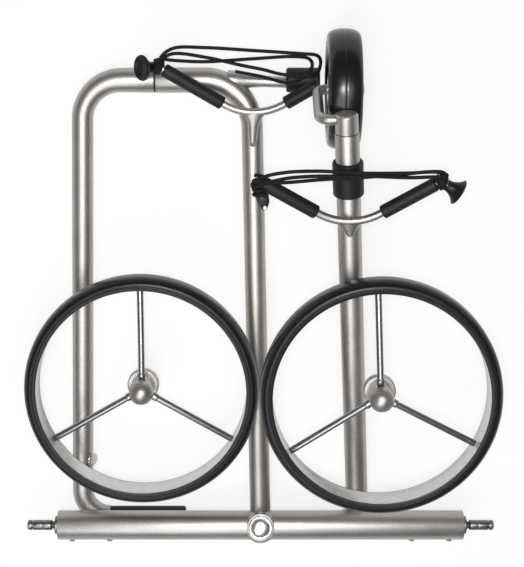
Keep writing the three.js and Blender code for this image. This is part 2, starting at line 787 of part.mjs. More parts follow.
// ---- bag brackets -------------------------------------------------------------------------
// A bracket lies in its own plane: a bent rod with two arms, a leg down to its tube, two grips.
function bracketPlane(x, y, tubeAt, height, slope) {
  return new THREE.Matrix4().makeRotationX(rad(slope)).setPosition(x, y, tubeAt(y).z + height);
}
const upperBracketY = frameReach - upperBracketBelow;
const upperHeight = frameTubeRadius + upperBracketStand;
const lowerHeight = armTubeRadius + lowerBracketStand;
const upperPlane = bracketPlane(upperBracketX, upperBracketY, frameAt, upperHeight, upperBracketSlope);
const lowerPlane = bracketPlane(lowerBracketX, lowerBracketY, armAt, lowerHeight, armSlope);
const armWay = (sign) => vec(sign * Math.cos(rad(bracketSpread)), Math.sin(rad(bracketSpread)), 0);
const alongArm = (sign, distance) => armWay(sign).multiplyScalar(distance);

// Where each bracket's rod has its knob: the side, the grip's end before it, the turn of the rod's end.
const upperHook = { sign: -1, gripEnd: upperLeftGripEnd, turn: upperKnobTurn };
const lowerHook = { sign: 1, gripEnd: lowerRightGripEnd, turn: lowerKnobTurn };
const knobBore = knobLength - knobDish - knobWall;

function hookPlaces({ sign, gripEnd, turn }) {
  const corner = alongArm(sign, gripEnd + knobHook / 2);
  const way = armWay(sign).applyAxisAngle(Z, -sign * rad(turn));
  const neck = along(corner, way, knobHook / 2);
  return { corner, way, neck, end: along(neck, way, knobBore) };
}

function bracketRod(plane, hook, plainEnd, legLength, tube) {
  const { corner, end } = hookPlaces(hook);
  const corners = [alongArm(-hook.sign, plainEnd + rodShows), vec(0, 0, 0), corner, end];
  const route = bentRoute(corners, [bracketBend, bracketHookBend], 5);
  const bar = sweep(route, bracketRodRadius, rodSides).applyMatrix4(plane);
  const sag = bracketBend * (1 / Math.cos(rad(bracketSpread)) - 1);
  const saddle = vec(0, sag, 0).applyMatrix4(plane);
  const foot = along(tube.at(saddle.y - legLength), Z, tube.radius - legTipRadius);
  const taper = legTipRadius - bracketRodRadius;
  const leg = straight(saddle, foot, (run, length) => bracketRodRadius + (taper * run) / length, rodSides);
  return cut(join(bar, leg), tube.sweep(gap));
}

function upperBracket() {
  const tube = { at: frameAt, radius: frameTubeRadius, sweep: frameSweep };
  return bracketRod(upperPlane, upperHook, upperRightGripEnd, upperLegLength, tube);
}

function lowerBracket() {
  const tube = { at: armAt, radius: armTubeRadius, sweep: armSweep };
  return bracketRod(lowerPlane, lowerHook, lowerLeftGripEnd, lowerLegLength, tube);
}

function bracketGrip(plane, sign, end) {
  const outer = sleeveProfile(bracketGripRadius, 0, end - gripStart, bracketGripEdge);
  const sleeve = ring(outer, bracketRodRadius + gap, rodSides);
  return aim(sleeve, alongArm(sign, gripStart), armWay(sign)).applyMatrix4(plane);
}

function knob(plane, hook) {
  const { neck, way } = hookPlaces(hook);
  const growth = knobRadius - knobNeckRadius;
  const flareAt = (t) => [knobNeckRadius + growth * t ** knobFlare, knobLength * t];
  const flare = [0, 0.4, 0.7, 0.9].map(flareAt);
  const face = [[knobRadius - knobEdge, knobLength], [0, knobLength - knobDish]];
  const bore = rod(bracketRodRadius + gap, -past, knobBore + gap, rodSides);
  return aim(cut(turned([[0, 0], ...flare, ...face], mediumSides), bore), neck, way).applyMatrix4(plane);
}

// ---- elastic cords ------------------------------------------------------------------------
// The cord's turn round the rod, just before a knob's neck.
function cordTurn(plane, hook) {
  const { neck, way } = hookPlaces(hook);
  const bore = bracketRodRadius + cordTurnClear;
  const turn = ring([[bore + cordTurnHeight, -cordTurnWidth], [bore + cordTurnHeight, 0]], bore, smallSides);
  return aim(turn, along(neck, way, -gap), way).applyMatrix4(plane);
}

// Out to the front wheel and back twice: the outer pair, then the inner pair with its free end.
const upperOuterRoute = [
  [-121, 586, 55], [-115.5, 595, 54.5], [-102.4, 602.5, 53.5], [-66.9, 603.1, 53.5], [-10, 599.7, 53.5],
  [46.8, 596, 53], [66, 594, 51], [71.5, 588, 42], [71.5, 580, 38], [68, 573, 44], [58, 570, 52],
  [25.6, 571.6, 53], [4.2, 576.9, 53], [-24.3, 582.6, 53], [-66.9, 592, 53.3], [-104.8, 595.6, 52],
  [-121, 587, 50],
];
const upperInnerRoute = [
  [-127, 587, 49], [-120, 589, 47], [-102.8, 587.5, 47], [-67.1, 586, 47], [-10.1, 589.4, 47],
  [40, 592, 46.5], [58, 589, 42], [62, 581, 38], [54, 569, 37], [35.2, 560.5, 40], [1.8, 568.2, 45],
  [-30.3, 574.5, 47],
];
// From the hook up past the grip's end, over to the knob, and back.
const lowerNearRoute = [
  [-1.5, 441, hookTop + 2 * gap], [-1.5, 441.5, 148.5], [-6.5, 449, 157], [-2, 456, 166.5],
  [27.9, 463.7, 164], [67.5, 466.5, 163.5], [98.1, 465.8, 163], [126.4, 466, 162.5],
  [169.8, 464.7, 163], [198, 465.5, 163], [210.5, 464.5, 161],
];
const lowerFarRoute = [
  [-6.5, 449, 157], [-9, 457, 160], [2, 465, 164], [27.8, 470.9, 165.5], [67.3, 472.5, 166],
  [97.9, 470.8, 165.5], [126.2, 469.9, 165], [169.5, 470, 163], [200, 470.5, 160], [213, 466.5, 156],
];

const cordPair = (first, second, turn) => join(cordThrough(first), cordThrough(second), turn);
const upperCord = () => cordPair(upperOuterRoute, upperInnerRoute, cordTurn(upperPlane, upperHook));
const lowerCord = () => cordPair(lowerNearRoute, lowerFarRoute, cordTurn(lowerPlane, lowerHook));

function cordHook() {
  const corners = [[-5, 446], [-5, 436], [2, 424], [7, 424], [10.5, 433], [9.5, 442], [3, 446]];
  const outline = new THREE.Shape(corners.map(([x, y]) => new THREE.Vector2(x, y)));
  const block = new THREE.ExtrudeGeometry(outline, { depth: hookThickness, bevelEnabled: false });
  return block.translate(0, 0, hookTop - hookThickness);
}

// ---- the assembly -------------------------------------------------------------------------
place(whole, "axle_tube", axleTube(), titanium);
screwPlaces.forEach((x, i) => place(whole, "axle_screw_" + (i + 1), screwAt(x, screw()), steel));
for (const [side, direction] of [["left", -1], ["right", 1]]) {
  const end = new THREE.Group();
  end.position.set(direction * halfAxle, 0, axleHeight);
  end.rotation.y = (direction * Math.PI) / 2;
  place(end, "axle_collar_" + side, axleCollar(), steel);
  place(end, "stub_axle_" + side, stubAxle(), steel);
  whole.add(end);
}
place(whole, "pivot_ring", pivotRing(), steel);
place(whole, "pivot_bolt", pivotBolt(), steel);
place(whole, "pivot_washer", pivotWasher(), plastic);
place(whole, "pivot_nut", pivotNut(), steel);
place(whole, "main_frame_tube", mainFrame(), titanium);
place(whole, "joint_seal", jointSeal(), plastic);
place(whole, "branch_buffer", branchBuffer(), rubber);

place(whole, "handle_tube", handleTube(), titanium);
place(whole, "handle_grip", handleGrip(), rubber);
place(whole, "handle_stud", handleStud(), steel);

place(whole, "front_arm_tube", armTube(), titanium);
place(whole, "arm_bumper", armBumper(), rubber);
place(whole, "arm_sleeve", armSleeve(), rubber);
place(whole, "fork_crown", forkCrown(), titanium);
place(whole, "fork_rod", forkRod(), titanium);
place(whole, "front_tyre", frontTyre(), tyreRubber);
place(whole, "front_hub", frontHub(), plastic);
place(whole, "front_bearing_left", frontBearing(-1), steel);
place(whole, "front_bearing_right", frontBearing(1), steel);
place(whole, "front_nut", frontNut(), steel);

place(whole, "upper_bracket", upperBracket(), titanium);
place(whole, "upper_grip_left", bracketGrip(upperPlane, -1, upperLeftGripEnd), rubber);
place(whole, "upper_grip_right", bracketGrip(upperPlane, 1, upperRightGripEnd), rubber);
place(whole, "upper_knob", knob(upperPlane, upperHook), plastic);
place(whole, "lower_bracket", lowerBracket(), titanium);
place(whole, "lower_grip_left", bracketGrip(lowerPlane, -1, lowerLeftGripEnd), rubber);
place(whole, "lower_grip_right", bracketGrip(lowerPlane, 1, lowerRightGripEnd), rubber);
place(whole, "lower_knob", knob(lowerPlane, lowerHook), plastic);

place(whole, "upper_cord", upperCord(), elastic);
place(whole, "lower_cord", lowerCord(), elastic);
place(whole, "cord_hook", cordHook(), plastic);

whole.add(rearWheel("left", leftWheelX, leftWheelY, leftWheelSeat, 0));
whole.add(rearWheel("right", rightWheelX, rightWheelY, rightWheelSeat, rightWheelTurn));

// the origin is on the ground, under the middle of the whole
const footprint = new THREE.Box3().setFromObject(whole);
const middle = footprint.getCenter(new THREE.Vector3());
whole.position.set(-middle.x, -middle.y, -footprint.min.z);

export default part;
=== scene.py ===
import json
import math
import bpy
import bmesh
import mathutils.geometry
from mathutils import Matrix, Vector


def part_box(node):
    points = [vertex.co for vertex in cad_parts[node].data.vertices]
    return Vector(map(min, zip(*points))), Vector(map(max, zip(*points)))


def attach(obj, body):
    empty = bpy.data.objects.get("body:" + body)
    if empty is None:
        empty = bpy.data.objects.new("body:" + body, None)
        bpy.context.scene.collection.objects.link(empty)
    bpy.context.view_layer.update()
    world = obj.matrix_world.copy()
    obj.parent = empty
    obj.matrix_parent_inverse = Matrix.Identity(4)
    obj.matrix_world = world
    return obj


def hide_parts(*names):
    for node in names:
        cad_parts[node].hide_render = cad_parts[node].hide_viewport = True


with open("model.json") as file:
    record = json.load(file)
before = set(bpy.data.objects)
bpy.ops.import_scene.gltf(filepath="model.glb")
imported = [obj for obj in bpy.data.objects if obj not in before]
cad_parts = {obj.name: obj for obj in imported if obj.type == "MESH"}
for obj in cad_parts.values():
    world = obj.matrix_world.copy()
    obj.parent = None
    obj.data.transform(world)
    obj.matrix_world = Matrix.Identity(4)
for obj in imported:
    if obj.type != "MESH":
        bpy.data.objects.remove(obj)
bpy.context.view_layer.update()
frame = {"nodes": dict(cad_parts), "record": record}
print("frame loaded:", len(frame["nodes"]), "nodes")

# the camera
cameraView = {"place": (0.0018, 0.4219, 1.8039), "tilt": -13, "lens": 92.9}
cameraData = bpy.data.cameras.new("camera")
cameraData.lens = cameraView["lens"]
camera = bpy.data.objects.new("camera", cameraData)
camera.location = cameraView["place"]
camera.rotation_euler = (math.radians(cameraView["tilt"]), 0, 0)
bpy.context.scene.collection.objects.link(camera)
bpy.context.scene.camera = camera
bpy.context.scene.view_settings.view_transform = "Standard"

# places
right = Vector((1, 0, 0))
ahead = Vector((0, 1, 0))
up = Vector((0, 0, 1))


def middleOf(node):
    low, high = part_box(node)
    return (low + high) / 2


axleMiddle = (middleOf("axle_collar_left") + middleOf("axle_collar_right")) / 2


def at(x, y, z):  # from the ground under the middle of the axle
    return Vector((x, axleMiddle.y + y, z))


def facing(start, way):  # turns +Z to the given way
    return Matrix.Translation(start) @ up.rotation_difference(way).to_matrix().to_4x4()


# making pieces
edges = {"merge": 1e-6, "thin": 1e-7, "bevelAngle": 0.45, "shadeAngle": 0.7}


def finishEdges(bm, bevel):
    bmesh.ops.remove_doubles(bm, verts=bm.verts[:], dist=edges["merge"])
    bmesh.ops.dissolve_degenerate(bm, edges=bm.edges[:], dist=edges["thin"])
    bmesh.ops.recalc_face_normals(bm, faces=bm.faces[:])
    sharp = [e for e in bm.edges if e.is_manifold and e.calc_face_angle() > edges["bevelAngle"]]
    if bevel and sharp:
        bmesh.ops.bevel(bm, geom=sharp, offset=bevel, offset_type="OFFSET", affect="EDGES",
                        segments=2, profile=0.5, material=-1, clamp_overlap=True)
    for edge in bm.edges:
        edge.smooth = not edge.is_manifold or edge.calc_face_angle() < edges["shadeAngle"]
    for face in bm.faces:
        face.smooth = True


def keep(name, bm, finish, body, stands=()):
    material, slot = finish
    mesh = bpy.data.meshes.new(name)
    bm.to_mesh(mesh)
    bm.free()
    mesh.materials.append(material)
    piece = bpy.data.objects.new(name, mesh)
    bpy.context.scene.collection.objects.link(piece)
    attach(piece, body)
    if stands:
        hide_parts(*stands)
    return piece


def spin(bm, profile, place, steps=64):  # a profile of (radius, height) round the place's own Z
    points = [bm.verts.new((radius, 0, height)) for radius, height in profile]
    lines = [bm.edges.new(pair) for pair in zip(points, points[1:])]
    before = set(bm.verts) - set(points)
    bmesh.ops.spin(bm, geom=points + lines, cent=(0, 0, 0), axis=(0, 0, 1),
                   angle=2 * math.pi, steps=steps, use_merge=True)
    made = [v for v in bm.verts if v not in before]
    bmesh.ops.transform(bm, matrix=place, verts=made)


def turned(name, profile, place, finish, body, stands=(), bevel=0.0004, steps=64):
    bm = bmesh.new()
    spin(bm, profile, place, steps)
    finishEdges(bm, bevel)
    return keep(name, bm, finish, body, stands)


def cutHole(piece, place, radius, low, high, steps=32):  # along the place's own Z
    bm = bmesh.new()
    spin(bm, [(0, low), (radius, low), (radius, high), (0, high)], place, steps)
    finishEdges(bm, 0)
    mesh = bpy.data.meshes.new("cutter")
    bm.to_mesh(mesh)
    bm.free()
    mesh.materials.append(piece.data.materials[0])
    cutter = bpy.data.objects.new("cutter", mesh)
    bpy.context.scene.collection.objects.link(cutter)
    hole = piece.modifiers.new("hole", "BOOLEAN")
    hole.object, hole.operation, hole.solver = cutter, "DIFFERENCE", "EXACT"
    shape = piece.evaluated_get(bpy.context.evaluated_depsgraph_get())
    cut = bpy.data.meshes.new_from_object(shape)
    piece.modifiers.clear()
    piece.data = cut
    bpy.data.objects.remove(cutter)
    bpy.data.meshes.remove(mesh)


def closed(outer, bore):  # closes an outer profile by a straight bore
    low, high = outer[0][1], outer[-1][1]
    return [(bore, low), *outer, (bore, high), (bore, low)]


def rounded(radius, low, high, edge, steps=5):  # a bar with round edges at both ends
    turns = [math.pi / 2 * i / steps for i in range(steps + 1)]
    lower = [(radius - edge + edge * math.sin(a), low + edge - edge * math.cos(a)) for a in turns]
    upper = [(radius - edge + edge * math.cos(a), high - edge + edge * math.sin(a)) for a in turns]
    return lower + upper


def bentRoute(corners, bends, turnSteps=24):  # points and directions, each corner rounded
    ways = [(b - a).normalized() for a, b in zip(corners, corners[1:])]
    route = [(corners[0].copy(), ways[0])]
    for corner, bend, before, after in zip(corners[1:], bends, ways, ways[1:]):
        angle = before.angle(after)
        axis = before.cross(after).normalized()
        start = corner - before * bend * math.tan(angle / 2)
        middle = start + axis.cross(before) * bend
        for step in range(turnSteps + 1):
            turn = Matrix.Rotation(angle * step / turnSteps, 3, axis)
            route.append((middle + turn @ (start - middle), turn @ before))
    route.append((corners[-1].copy(), ways[-1]))
    return route


def runs(route):
    lengths = [0]
    for before, after in zip(route, route[1:]):
        lengths.append(lengths[-1] + (after[0] - before[0]).length)
    return lengths


def sweep(bm, route, radiusAt, sides=40):  # a round bar, its ring of edges extruded along the route
    size = radiusAt if callable(radiusAt) else lambda run: radiusAt
    lengths = runs(route)
    layer = bm.loops.layers.uv.verify()
    turn = up.rotation_difference(route[0][1]).to_matrix().to_4x4()
    place = Matrix.Translation(route[0][0]) @ turn @ Matrix.Scale(size(0), 4)
    circle = bmesh.ops.create_circle(bm, cap_ends=False, segments=sides, radius=1, matrix=place)
    ring = list({e for v in circle["verts"] for e in v.link_edges})
    first = ring
    for index in range(1, len(route)):
        point, way = route[index]
        turn = route[index - 1][1].rotation_difference(way).to_matrix().to_4x4() @ turn
        after = Matrix.Translation(point) @ turn @ Matrix.Scale(size(lengths[index]), 4)
        made = bmesh.ops.extrude_edge_only(bm, edges=ring)["geom"]
        verts = [g for g in made if isinstance(g, bmesh.types.BMVert)]
        bmesh.ops.transform(bm, matrix=after @ place.inverted(), verts=verts)
        inverse = after.inverted()
        for face in [g for g in made if isinstance(g, bmesh.types.BMFace)]:
            angles = [math.atan2(*(inverse @ loop.vert.co).yx) / math.tau for loop in face.loops]
            for loop, angle in zip(face.loops, angles):
                wrapped = angle + 1 if angle < 0 and max(angles) - min(angles) > 0.5 else angle
                near = loop.vert in verts
                loop[layer].uv = (wrapped, lengths[index] if near else lengths[index - 1])
        ring = [g for g in made if isinstance(g, bmesh.types.BMEdge)
                and all(v in verts for v in g.verts)]
        place = after
    bmesh.ops.edgeloop_fill(bm, edges=first)
    bmesh.ops.edgeloop_fill(bm, edges=ring)


def bar(name, route, radiusAt, finish, body, stands=(), bevel=0.0006, sides=40):
    bm = bmesh.new()
    sweep(bm, route, radiusAt, sides)
    finishEdges(bm, bevel)
    return keep(name, bm, finish, body, stands)


def straight(start, end, steps=1):
    way = (end - start).normalized()
    return [(start.lerp(end, i / steps), way) for i in range(steps + 1)]


def ease(share):
    share = min(max(share, 0), 1)
    return share * share * (3 - 2 * share)


# finishes
def emptyFinish(name):
    material = bpy.data.materials.new(name)
    material.use_nodes = True
    tree = material.node_tree
    shader = tree.nodes["Principled BSDF"]
    return material, tree, shader


def add(tree, kind, **values):  # a node with its settings and unlinked inputs
    node = tree.nodes.new(kind)
    for name, value in values.items():
        if name in node.inputs:
            node.inputs[name].default_value = value
        else:
            setattr(node, name, value)
    return node


def noise(tree, source, scale, detail=2.0, roughness=0.5):
    node = add(tree, "ShaderNodeTexNoise", Scale=scale, Detail=detail, Roughness=roughness)
    tree.links.new(source, node.inputs["Vector"])
    return node.outputs["Fac"]


def ramp(tree, source, stops):
    node = tree.nodes.new("ShaderNodeValToRGB")
    node.color_ramp.elements[0].position, node.color_ramp.elements[0].color = stops[0]
    node.color_ramp.elements[1].position, node.color_ramp.elements[1].color = stops[-1]
    for position, colour in stops[1:-1]:
        node.color_ramp.elements.new(position).color = colour
    tree.links.new(source, node.inputs["Fac"])
    return node.outputs["Color"]


def between(tree, source, low, high):
    node = add(tree, "ShaderNodeMapRange")
    node.inputs["To Min"].default_value = low
    node.inputs["To Max"].default_value = high
    tree.links.new(source, node.inputs["Value"])
    return node.outputs["Result"]


def bump(tree, source, strength, distance, under=None):
    node = add(tree, "ShaderNodeBump", Strength=strength, Distance=distance)
    tree.links.new(source, node.inputs["Height"])
    if under:
        tree.links.new(under, node.inputs["Normal"])
    return node.outputs["Normal"]


def grey(value, warmth=0.0):
    return (value * (1 + warmth), value, value * (1 - warmth), 1)


def blastedTitanium():
    settings = {"dark": grey(0.3, 0.06), "pale": grey(0.5, 0.045), "grain": 620, "pits": 1900, "cloud": 26,
                "grainShare": 0.75, "cloudShare": 0.25, "rough": (0.37, 0.5), "grainHeight": 0.00018,
                "pitHeight": 0.0001}
    material, tree, shader = emptyFinish("blastedTitanium")
    place = tree.nodes.new("ShaderNodeTexCoord").outputs["Object"]
    grain = noise(tree, place, settings["grain"], 3, 0.65)
    cloud = noise(tree, place, settings["cloud"], 2)
    pits = noise(tree, place, settings["pits"], 2, 0.6)
    blend = add(tree, "ShaderNodeMath", operation="MULTIPLY_ADD")
    tree.links.new(grain, blend.inputs[0])
    blend.inputs[1].default_value = settings["grainShare"]
    tree.links.new(between(tree, cloud, 0.0, settings["cloudShare"]), blend.inputs[2])
    colour = ramp(tree, blend.outputs[0], [(0.3, settings["dark"]), (0.7, settings["pale"])])
    tree.links.new(colour, shader.inputs["Base Color"])
    tree.links.new(between(tree, grain, *settings["rough"]), shader.inputs["Roughness"])
    shader.inputs["Metallic"].default_value = 1
    fine = bump(tree, pits, 0.25, settings["pitHeight"])
    tree.links.new(bump(tree, grain, 0.22, settings["grainHeight"], fine), shader.inputs["Normal"])
    return material, "titanium"


def turnedSteel(name, tone, low, high, slot):
    settings = {"smear": 140, "grain": 2200, "height": 0.00005, "dim": 0.86, "warmth": 0.01}
    material, tree, shader = emptyFinish(name)
    place = tree.nodes.new("ShaderNodeTexCoord").outputs["Object"]
    smear = noise(tree, place, settings["smear"], 3)
    dim, pale = grey(tone * settings["dim"], settings["warmth"]), grey(tone, settings["warmth"])
    tree.links.new(ramp(tree, smear, [(0.3, dim), (0.7, pale)]), shader.inputs["Base Color"])
    tree.links.new(between(tree, smear, low, high), shader.inputs["Roughness"])
    shader.inputs["Metallic"].default_value = 1
    tree.links.new(bump(tree, noise(tree, place, settings["grain"], 2), 0.06, settings["height"]),
                   shader.inputs["Normal"])
    return material, slot


def blackSurface(name, slot, tone, low, high, grain, height, gloss):
    settings = {"ior": 1.5, "dust": 60, "specks": 0.35}
    material, tree, shader = emptyFinish(name)
    shader.inputs["Specular IOR Level"].default_value = gloss
    shader.inputs["IOR"].default_value = settings["ior"]
    place = tree.nodes.new("ShaderNodeTexCoord").outputs["Object"]
    fine = noise(tree, place, grain, 3, 0.6)
    dust = noise(tree, place, settings["dust"], 4, 0.6)
    tree.links.new(ramp(tree, dust, [(0.35, grey(tone)), (0.75, grey(tone * (1 + settings["specks"])))]),
                   shader.inputs["Base Color"])
    tree.links.new(between(tree, dust, low, high), shader.inputs["Roughness"])
    tree.links.new(bump(tree, fine, 0.35, height), shader.inputs["Normal"])
    return material, slot


def braidedElastic():
    settings = {"strands": 10, "pitch": 520, "dark": 0.0045, "pale": 0.0171, "rough": 0.72, "gloss": 0.16,
                "height": 0.0003}
    material, tree, shader = emptyFinish("braidedElastic")
    uv = tree.nodes.new("ShaderNodeTexCoord").outputs["UV"]
    split = tree.nodes.new("ShaderNodeSeparateXYZ")
    tree.links.new(uv, split.inputs[0])
    waves = []
    for hand in (1, -1):  # the two hands of the braid
        turns = add(tree, "ShaderNodeMath", operation="MULTIPLY")
        turns.inputs[1].default_value = hand * settings["strands"] / 2 * math.tau
        tree.links.new(split.outputs["X"], turns.inputs[0])
        runsOn = add(tree, "ShaderNodeMath", operation="MULTIPLY_ADD")
        tree.links.new(split.outputs["Y"], runsOn.inputs[0])
        runsOn.inputs[1].default_value = settings["pitch"] * math.tau / 2
        tree.links.new(turns.outputs[0], runsOn.inputs[2])
        wave = add(tree, "ShaderNodeMath", operation="SINE")
        tree.links.new(runsOn.outputs[0], wave.inputs[0])
        waves.append(wave.outputs[0])
    weave = add(tree, "ShaderNodeMath", operation="MAXIMUM")
    tree.links.new(waves[0], weave.inputs[0])
    tree.links.new(waves[1], weave.inputs[1])
    colour = ramp(tree, weave.outputs[0], [(0.0, grey(settings["dark"])), (0.9, grey(settings["pale"]))])
    tree.links.new(colour, shader.inputs["Base Color"])
    shader.inputs["Roughness"].default_value = settings["rough"]
    shader.inputs["Specular IOR Level"].default_value = settings["gloss"]
    tree.links.new(bump(tree, weave.outputs[0], 0.6, settings["height"]), shader.inputs["Normal"])
    return material, "elastic"


titanium = blastedTitanium()
steel = turnedSteel("polishedSteel", 0.66, 0.12, 0.24, "steel")
darkSteel = turnedSteel("darkSteel", 0.2, 0.3, 0.42, "steel")
brushedSteel = turnedSteel("brushedSteel", 0.62, 0.26, 0.36, "steel")
spokeSteel = turnedSteel("spokeSteel", 0.36, 0.26, 0.36, "steel")
rimSatin = turnedSteel("satinRim", 0.62, 0.3, 0.42, "rim_satin")
gripRubber = blackSurface("gripRubber", "rubber", 0.01, 0.42, 0.58, 1300, 0.00015, gloss=0.24)
tyreRubber = blackSurface("tyreRubber", "tyre_rubber", 0.008, 0.24, 0.34, 1100, 0.00006, gloss=0.22)
frontRubber = blackSurface("frontTyreRubber", "tyre_rubber", 0.005, 0.23, 0.28, 900, 0.00004, gloss=0.46)
mouldedPlastic = blackSurface("mouldedPlastic", "plastic", 0.007, 0.3, 0.42, 700, 0.00005, gloss=0.24)
elastic = braidedElastic()
finishOfSlot = {"titanium": titanium, "steel": steel, "rim_satin": rimSatin, "rubber": gripRubber,
                "tyre_rubber": tyreRubber, "plastic": mouldedPlastic, "elastic": elastic}
for subpart in frame["record"]["subparts"]:
    node = frame["nodes"][subpart["node"]]
    node.data.materials.clear()
    node.data.materials.append(finishOfSlot[subpart["material_slot"]][0])
print("finishes made")

# axle
axle = {"half": 0.258, "radius": 0.0185, "wall": 0.002, "height": 0.053,
        "screws": (-0.241, -0.193, 0.193, 0.241)}
axleCentre = at(0, 0, axle["height"])
turned("axleTube", closed([(axle["radius"], -axle["half"]), (axle["radius"], axle["half"])],
                          axle["radius"] - axle["wall"]),
       facing(axleCentre, right), titanium, "frame", ["axle_tube"], bevel=0.0005, steps=96)
pivot = {"tilt": 15, "bossRadius": 0.017, "bossTop": 0.025, "bossLow": 0.0209, "foot": 0.0195,
         "fillet": 0.0045, "filletFrom": 0.012, "filletLength": 0.008, "lugDrop": 0.0385}
pivotWay = Vector((0, math.sin(math.radians(pivot["tilt"])), math.cos(math.radians(pivot["tilt"]))))
onPivot = facing(axleCentre, pivotWay)
flare = [(pivot["bossRadius"] + pivot["fillet"] * (1 - i / 8) ** 2,
          pivot["filletFrom"] + pivot["filletLength"] * i / 8) for i in range(9)]
turned("axleBoss", [(0, -pivot["bossLow"]), (pivot["bossRadius"], -pivot["bossLow"]),
                    (pivot["foot"], -pivot["filletFrom"]),
                    *flare, (pivot["bossRadius"], pivot["bossTop"]), (0, pivot["bossTop"])],
       onPivot, titanium, "frame", bevel=0.0008, steps=96)
ring = {"gap": 0.0003, "radius": 0.015, "height": 0.005, "edge": 0.0016, "bore": 0.0118}
ringBase = pivot["bossTop"] + ring["gap"]
turned("pivotRing",
       closed(rounded(ring["radius"], ringBase, ringBase + ring["height"], ring["edge"]), ring["bore"]),
       onPivot, steel, "frame", ["pivot_ring"], bevel=0.0006, steps=96)
bolt = {"sunk": 0.02, "shank": 0.005, "radius": 0.011, "domeFrom": 0.002, "dome": 0.0034}
headBase = ringBase + bolt["domeFrom"]
turned("pivotBolt", [(0, ringBase - bolt["sunk"]), (bolt["shank"], ringBase - bolt["sunk"]),
                     (bolt["shank"], ringBase), (bolt["radius"], ringBase),
                     *[(bolt["radius"] * math.sin(a), headBase + bolt["dome"] * math.cos(a))
                       for a in [math.pi / 2 * (1 - i / 12) for i in range(13)]]],
       onPivot, brushedSteel, "frame", ["pivot_bolt"], bevel=0.0003, steps=72)

for index, x in enumerate(axle["screws"]):
    head = [(0, -0.006), (0.0019, -0.006), (0.0019, 0.0005), (0.0036, 0.0005), (0.0036, 0.0021),
            (0.0031, 0.0026), (0.0017, 0.0027), (0.0016, 0.0012), (0, 0.0011)]
    turned(f"axleScrew{index + 1}", head, facing(at(x, -axle["radius"], axle["height"]), -ahead),
           darkSteel, "frame", [f"axle_screw_{index + 1}"], bevel=0.0002, steps=32)

stub = {"collar": 0.0115, "shank": 0.008, "neckFrom": 0.0041, "neckLength": 0.005, "radius": 0.0064,
        "reach": 0.03, "grooveFromTip": 0.0056, "groove": 0.0018, "grooveRadius": 0.0052, "edge": 0.0016}
for side, way in (("left", -right), ("right", right)):
    end = facing(axleCentre + way * axle["half"], way)
    turned(f"{side}Collar", closed(rounded(stub["collar"], 0.0003, 0.0037, 0.0007), stub["shank"] + 0.0003),
           end, darkSteel, "frame", [f"axle_collar_{side}"], bevel=0.0002)
    neck = stub["neckFrom"]
    start = neck + stub["neckLength"]
    tip = start + stub["reach"]
    groove = tip - stub["grooveFromTip"]
    turned(f"{side}StubAxle",
           [(0, -0.022), (0.0162, -0.022), (0.0162, -0.0016), (0.0156, -0.001), (0.008, -0.001),
            (stub["shank"], neck - 0.0004), (stub["shank"] - 0.0006, neck),
            *[(0.0044 + 0.0026 * ((i - 4) / 4) ** 2, neck + 0.0006 + 0.0038 * i / 8) for i in range(9)],
            (stub["radius"] - 0.0005, start), (stub["radius"], start + 0.0005),
            (stub["radius"], start + 0.009), (0.0061, start + 0.0094), (0.0061, start + 0.0104),
            (stub["radius"], start + 0.0108), (stub["radius"], groove - stub["groove"]),
            (stub["grooveRadius"], groove - stub["groove"] + 0.0003), (stub["grooveRadius"], groove - 0.0003),
            (stub["radius"], groove), (stub["radius"], tip - stub["edge"]),
            (stub["radius"] - stub["edge"], tip), (0, tip)],
           end, darkSteel, "frame", [f"stub_axle_{side}"], bevel=0.0002)
print("axle made")

# main frame tube
mainTube = {"radius": 0.013, "crossRadius": 0.0153, "lean": 0.0113, "reach": 0.5615, "bend": 0.0579,
            "joint": 0.1282, "foot": 0.0181, "seal": 0.001}
frameTop = at(-mainTube["lean"], mainTube["reach"], mainTube["crossRadius"])
jointCentre = at(-mainTube["joint"], mainTube["reach"], mainTube["crossRadius"])
toTop = (frameTop - axleCentre).normalized()
bendStart = (frameTop - axleCentre).length - mainTube["bend"]
tubeFoot = axleCentre + toTop * mainTube["foot"]
mainRoute = bentRoute([tubeFoot, frameTop, jointCentre + right * mainTube["seal"]], [mainTube["bend"]], 32)


def mainRadius(run):
    share = ease((run + mainTube["foot"] - bendStart) / (mainTube["bend"] * math.pi / 2))
    return mainTube["radius"] + (mainTube["crossRadius"] - mainTube["radius"]) * share


bar("mainFrameTube", mainRoute, mainRadius, titanium, "frame", ["main_frame_tube"], sides=64)
print("main tube made")

# branch and buffer
branch = {"start": 0.0402, "end": 0.066, "rise": 0.004, "radius": 0.0068, "root": 0.0078, "rootRun": 0.05,
          "most": 0.0118}
branchFrom = at(-branch["start"], mainTube["reach"], mainTube["crossRadius"])
branchTo = at(branch["end"], mainTube["reach"] - branch["rise"], mainTube["crossRadius"])


def branchRadius(run):
    root = branch["root"] * max(0, 1 - run / branch["rootRun"]) ** 2
    return min(branch["radius"] + root, branch["most"])


bar("frameBranch", straight(branchFrom, branchTo, 24), branchRadius, titanium, "frame", bevel=0.0004)
buffer = {"start": 0.031, "length": 0.041, "radius": 0.015, "edge": 0.0032}
turned("branchBuffer", [(0, 0), *rounded(buffer["radius"], 0, buffer["length"], buffer["edge"], 8),
                        (0, buffer["length"])],
       facing(at(buffer["start"], mainTube["reach"], mainTube["crossRadius"]), right),
       gripRubber, "frame", ["branch_buffer"], bevel=0)

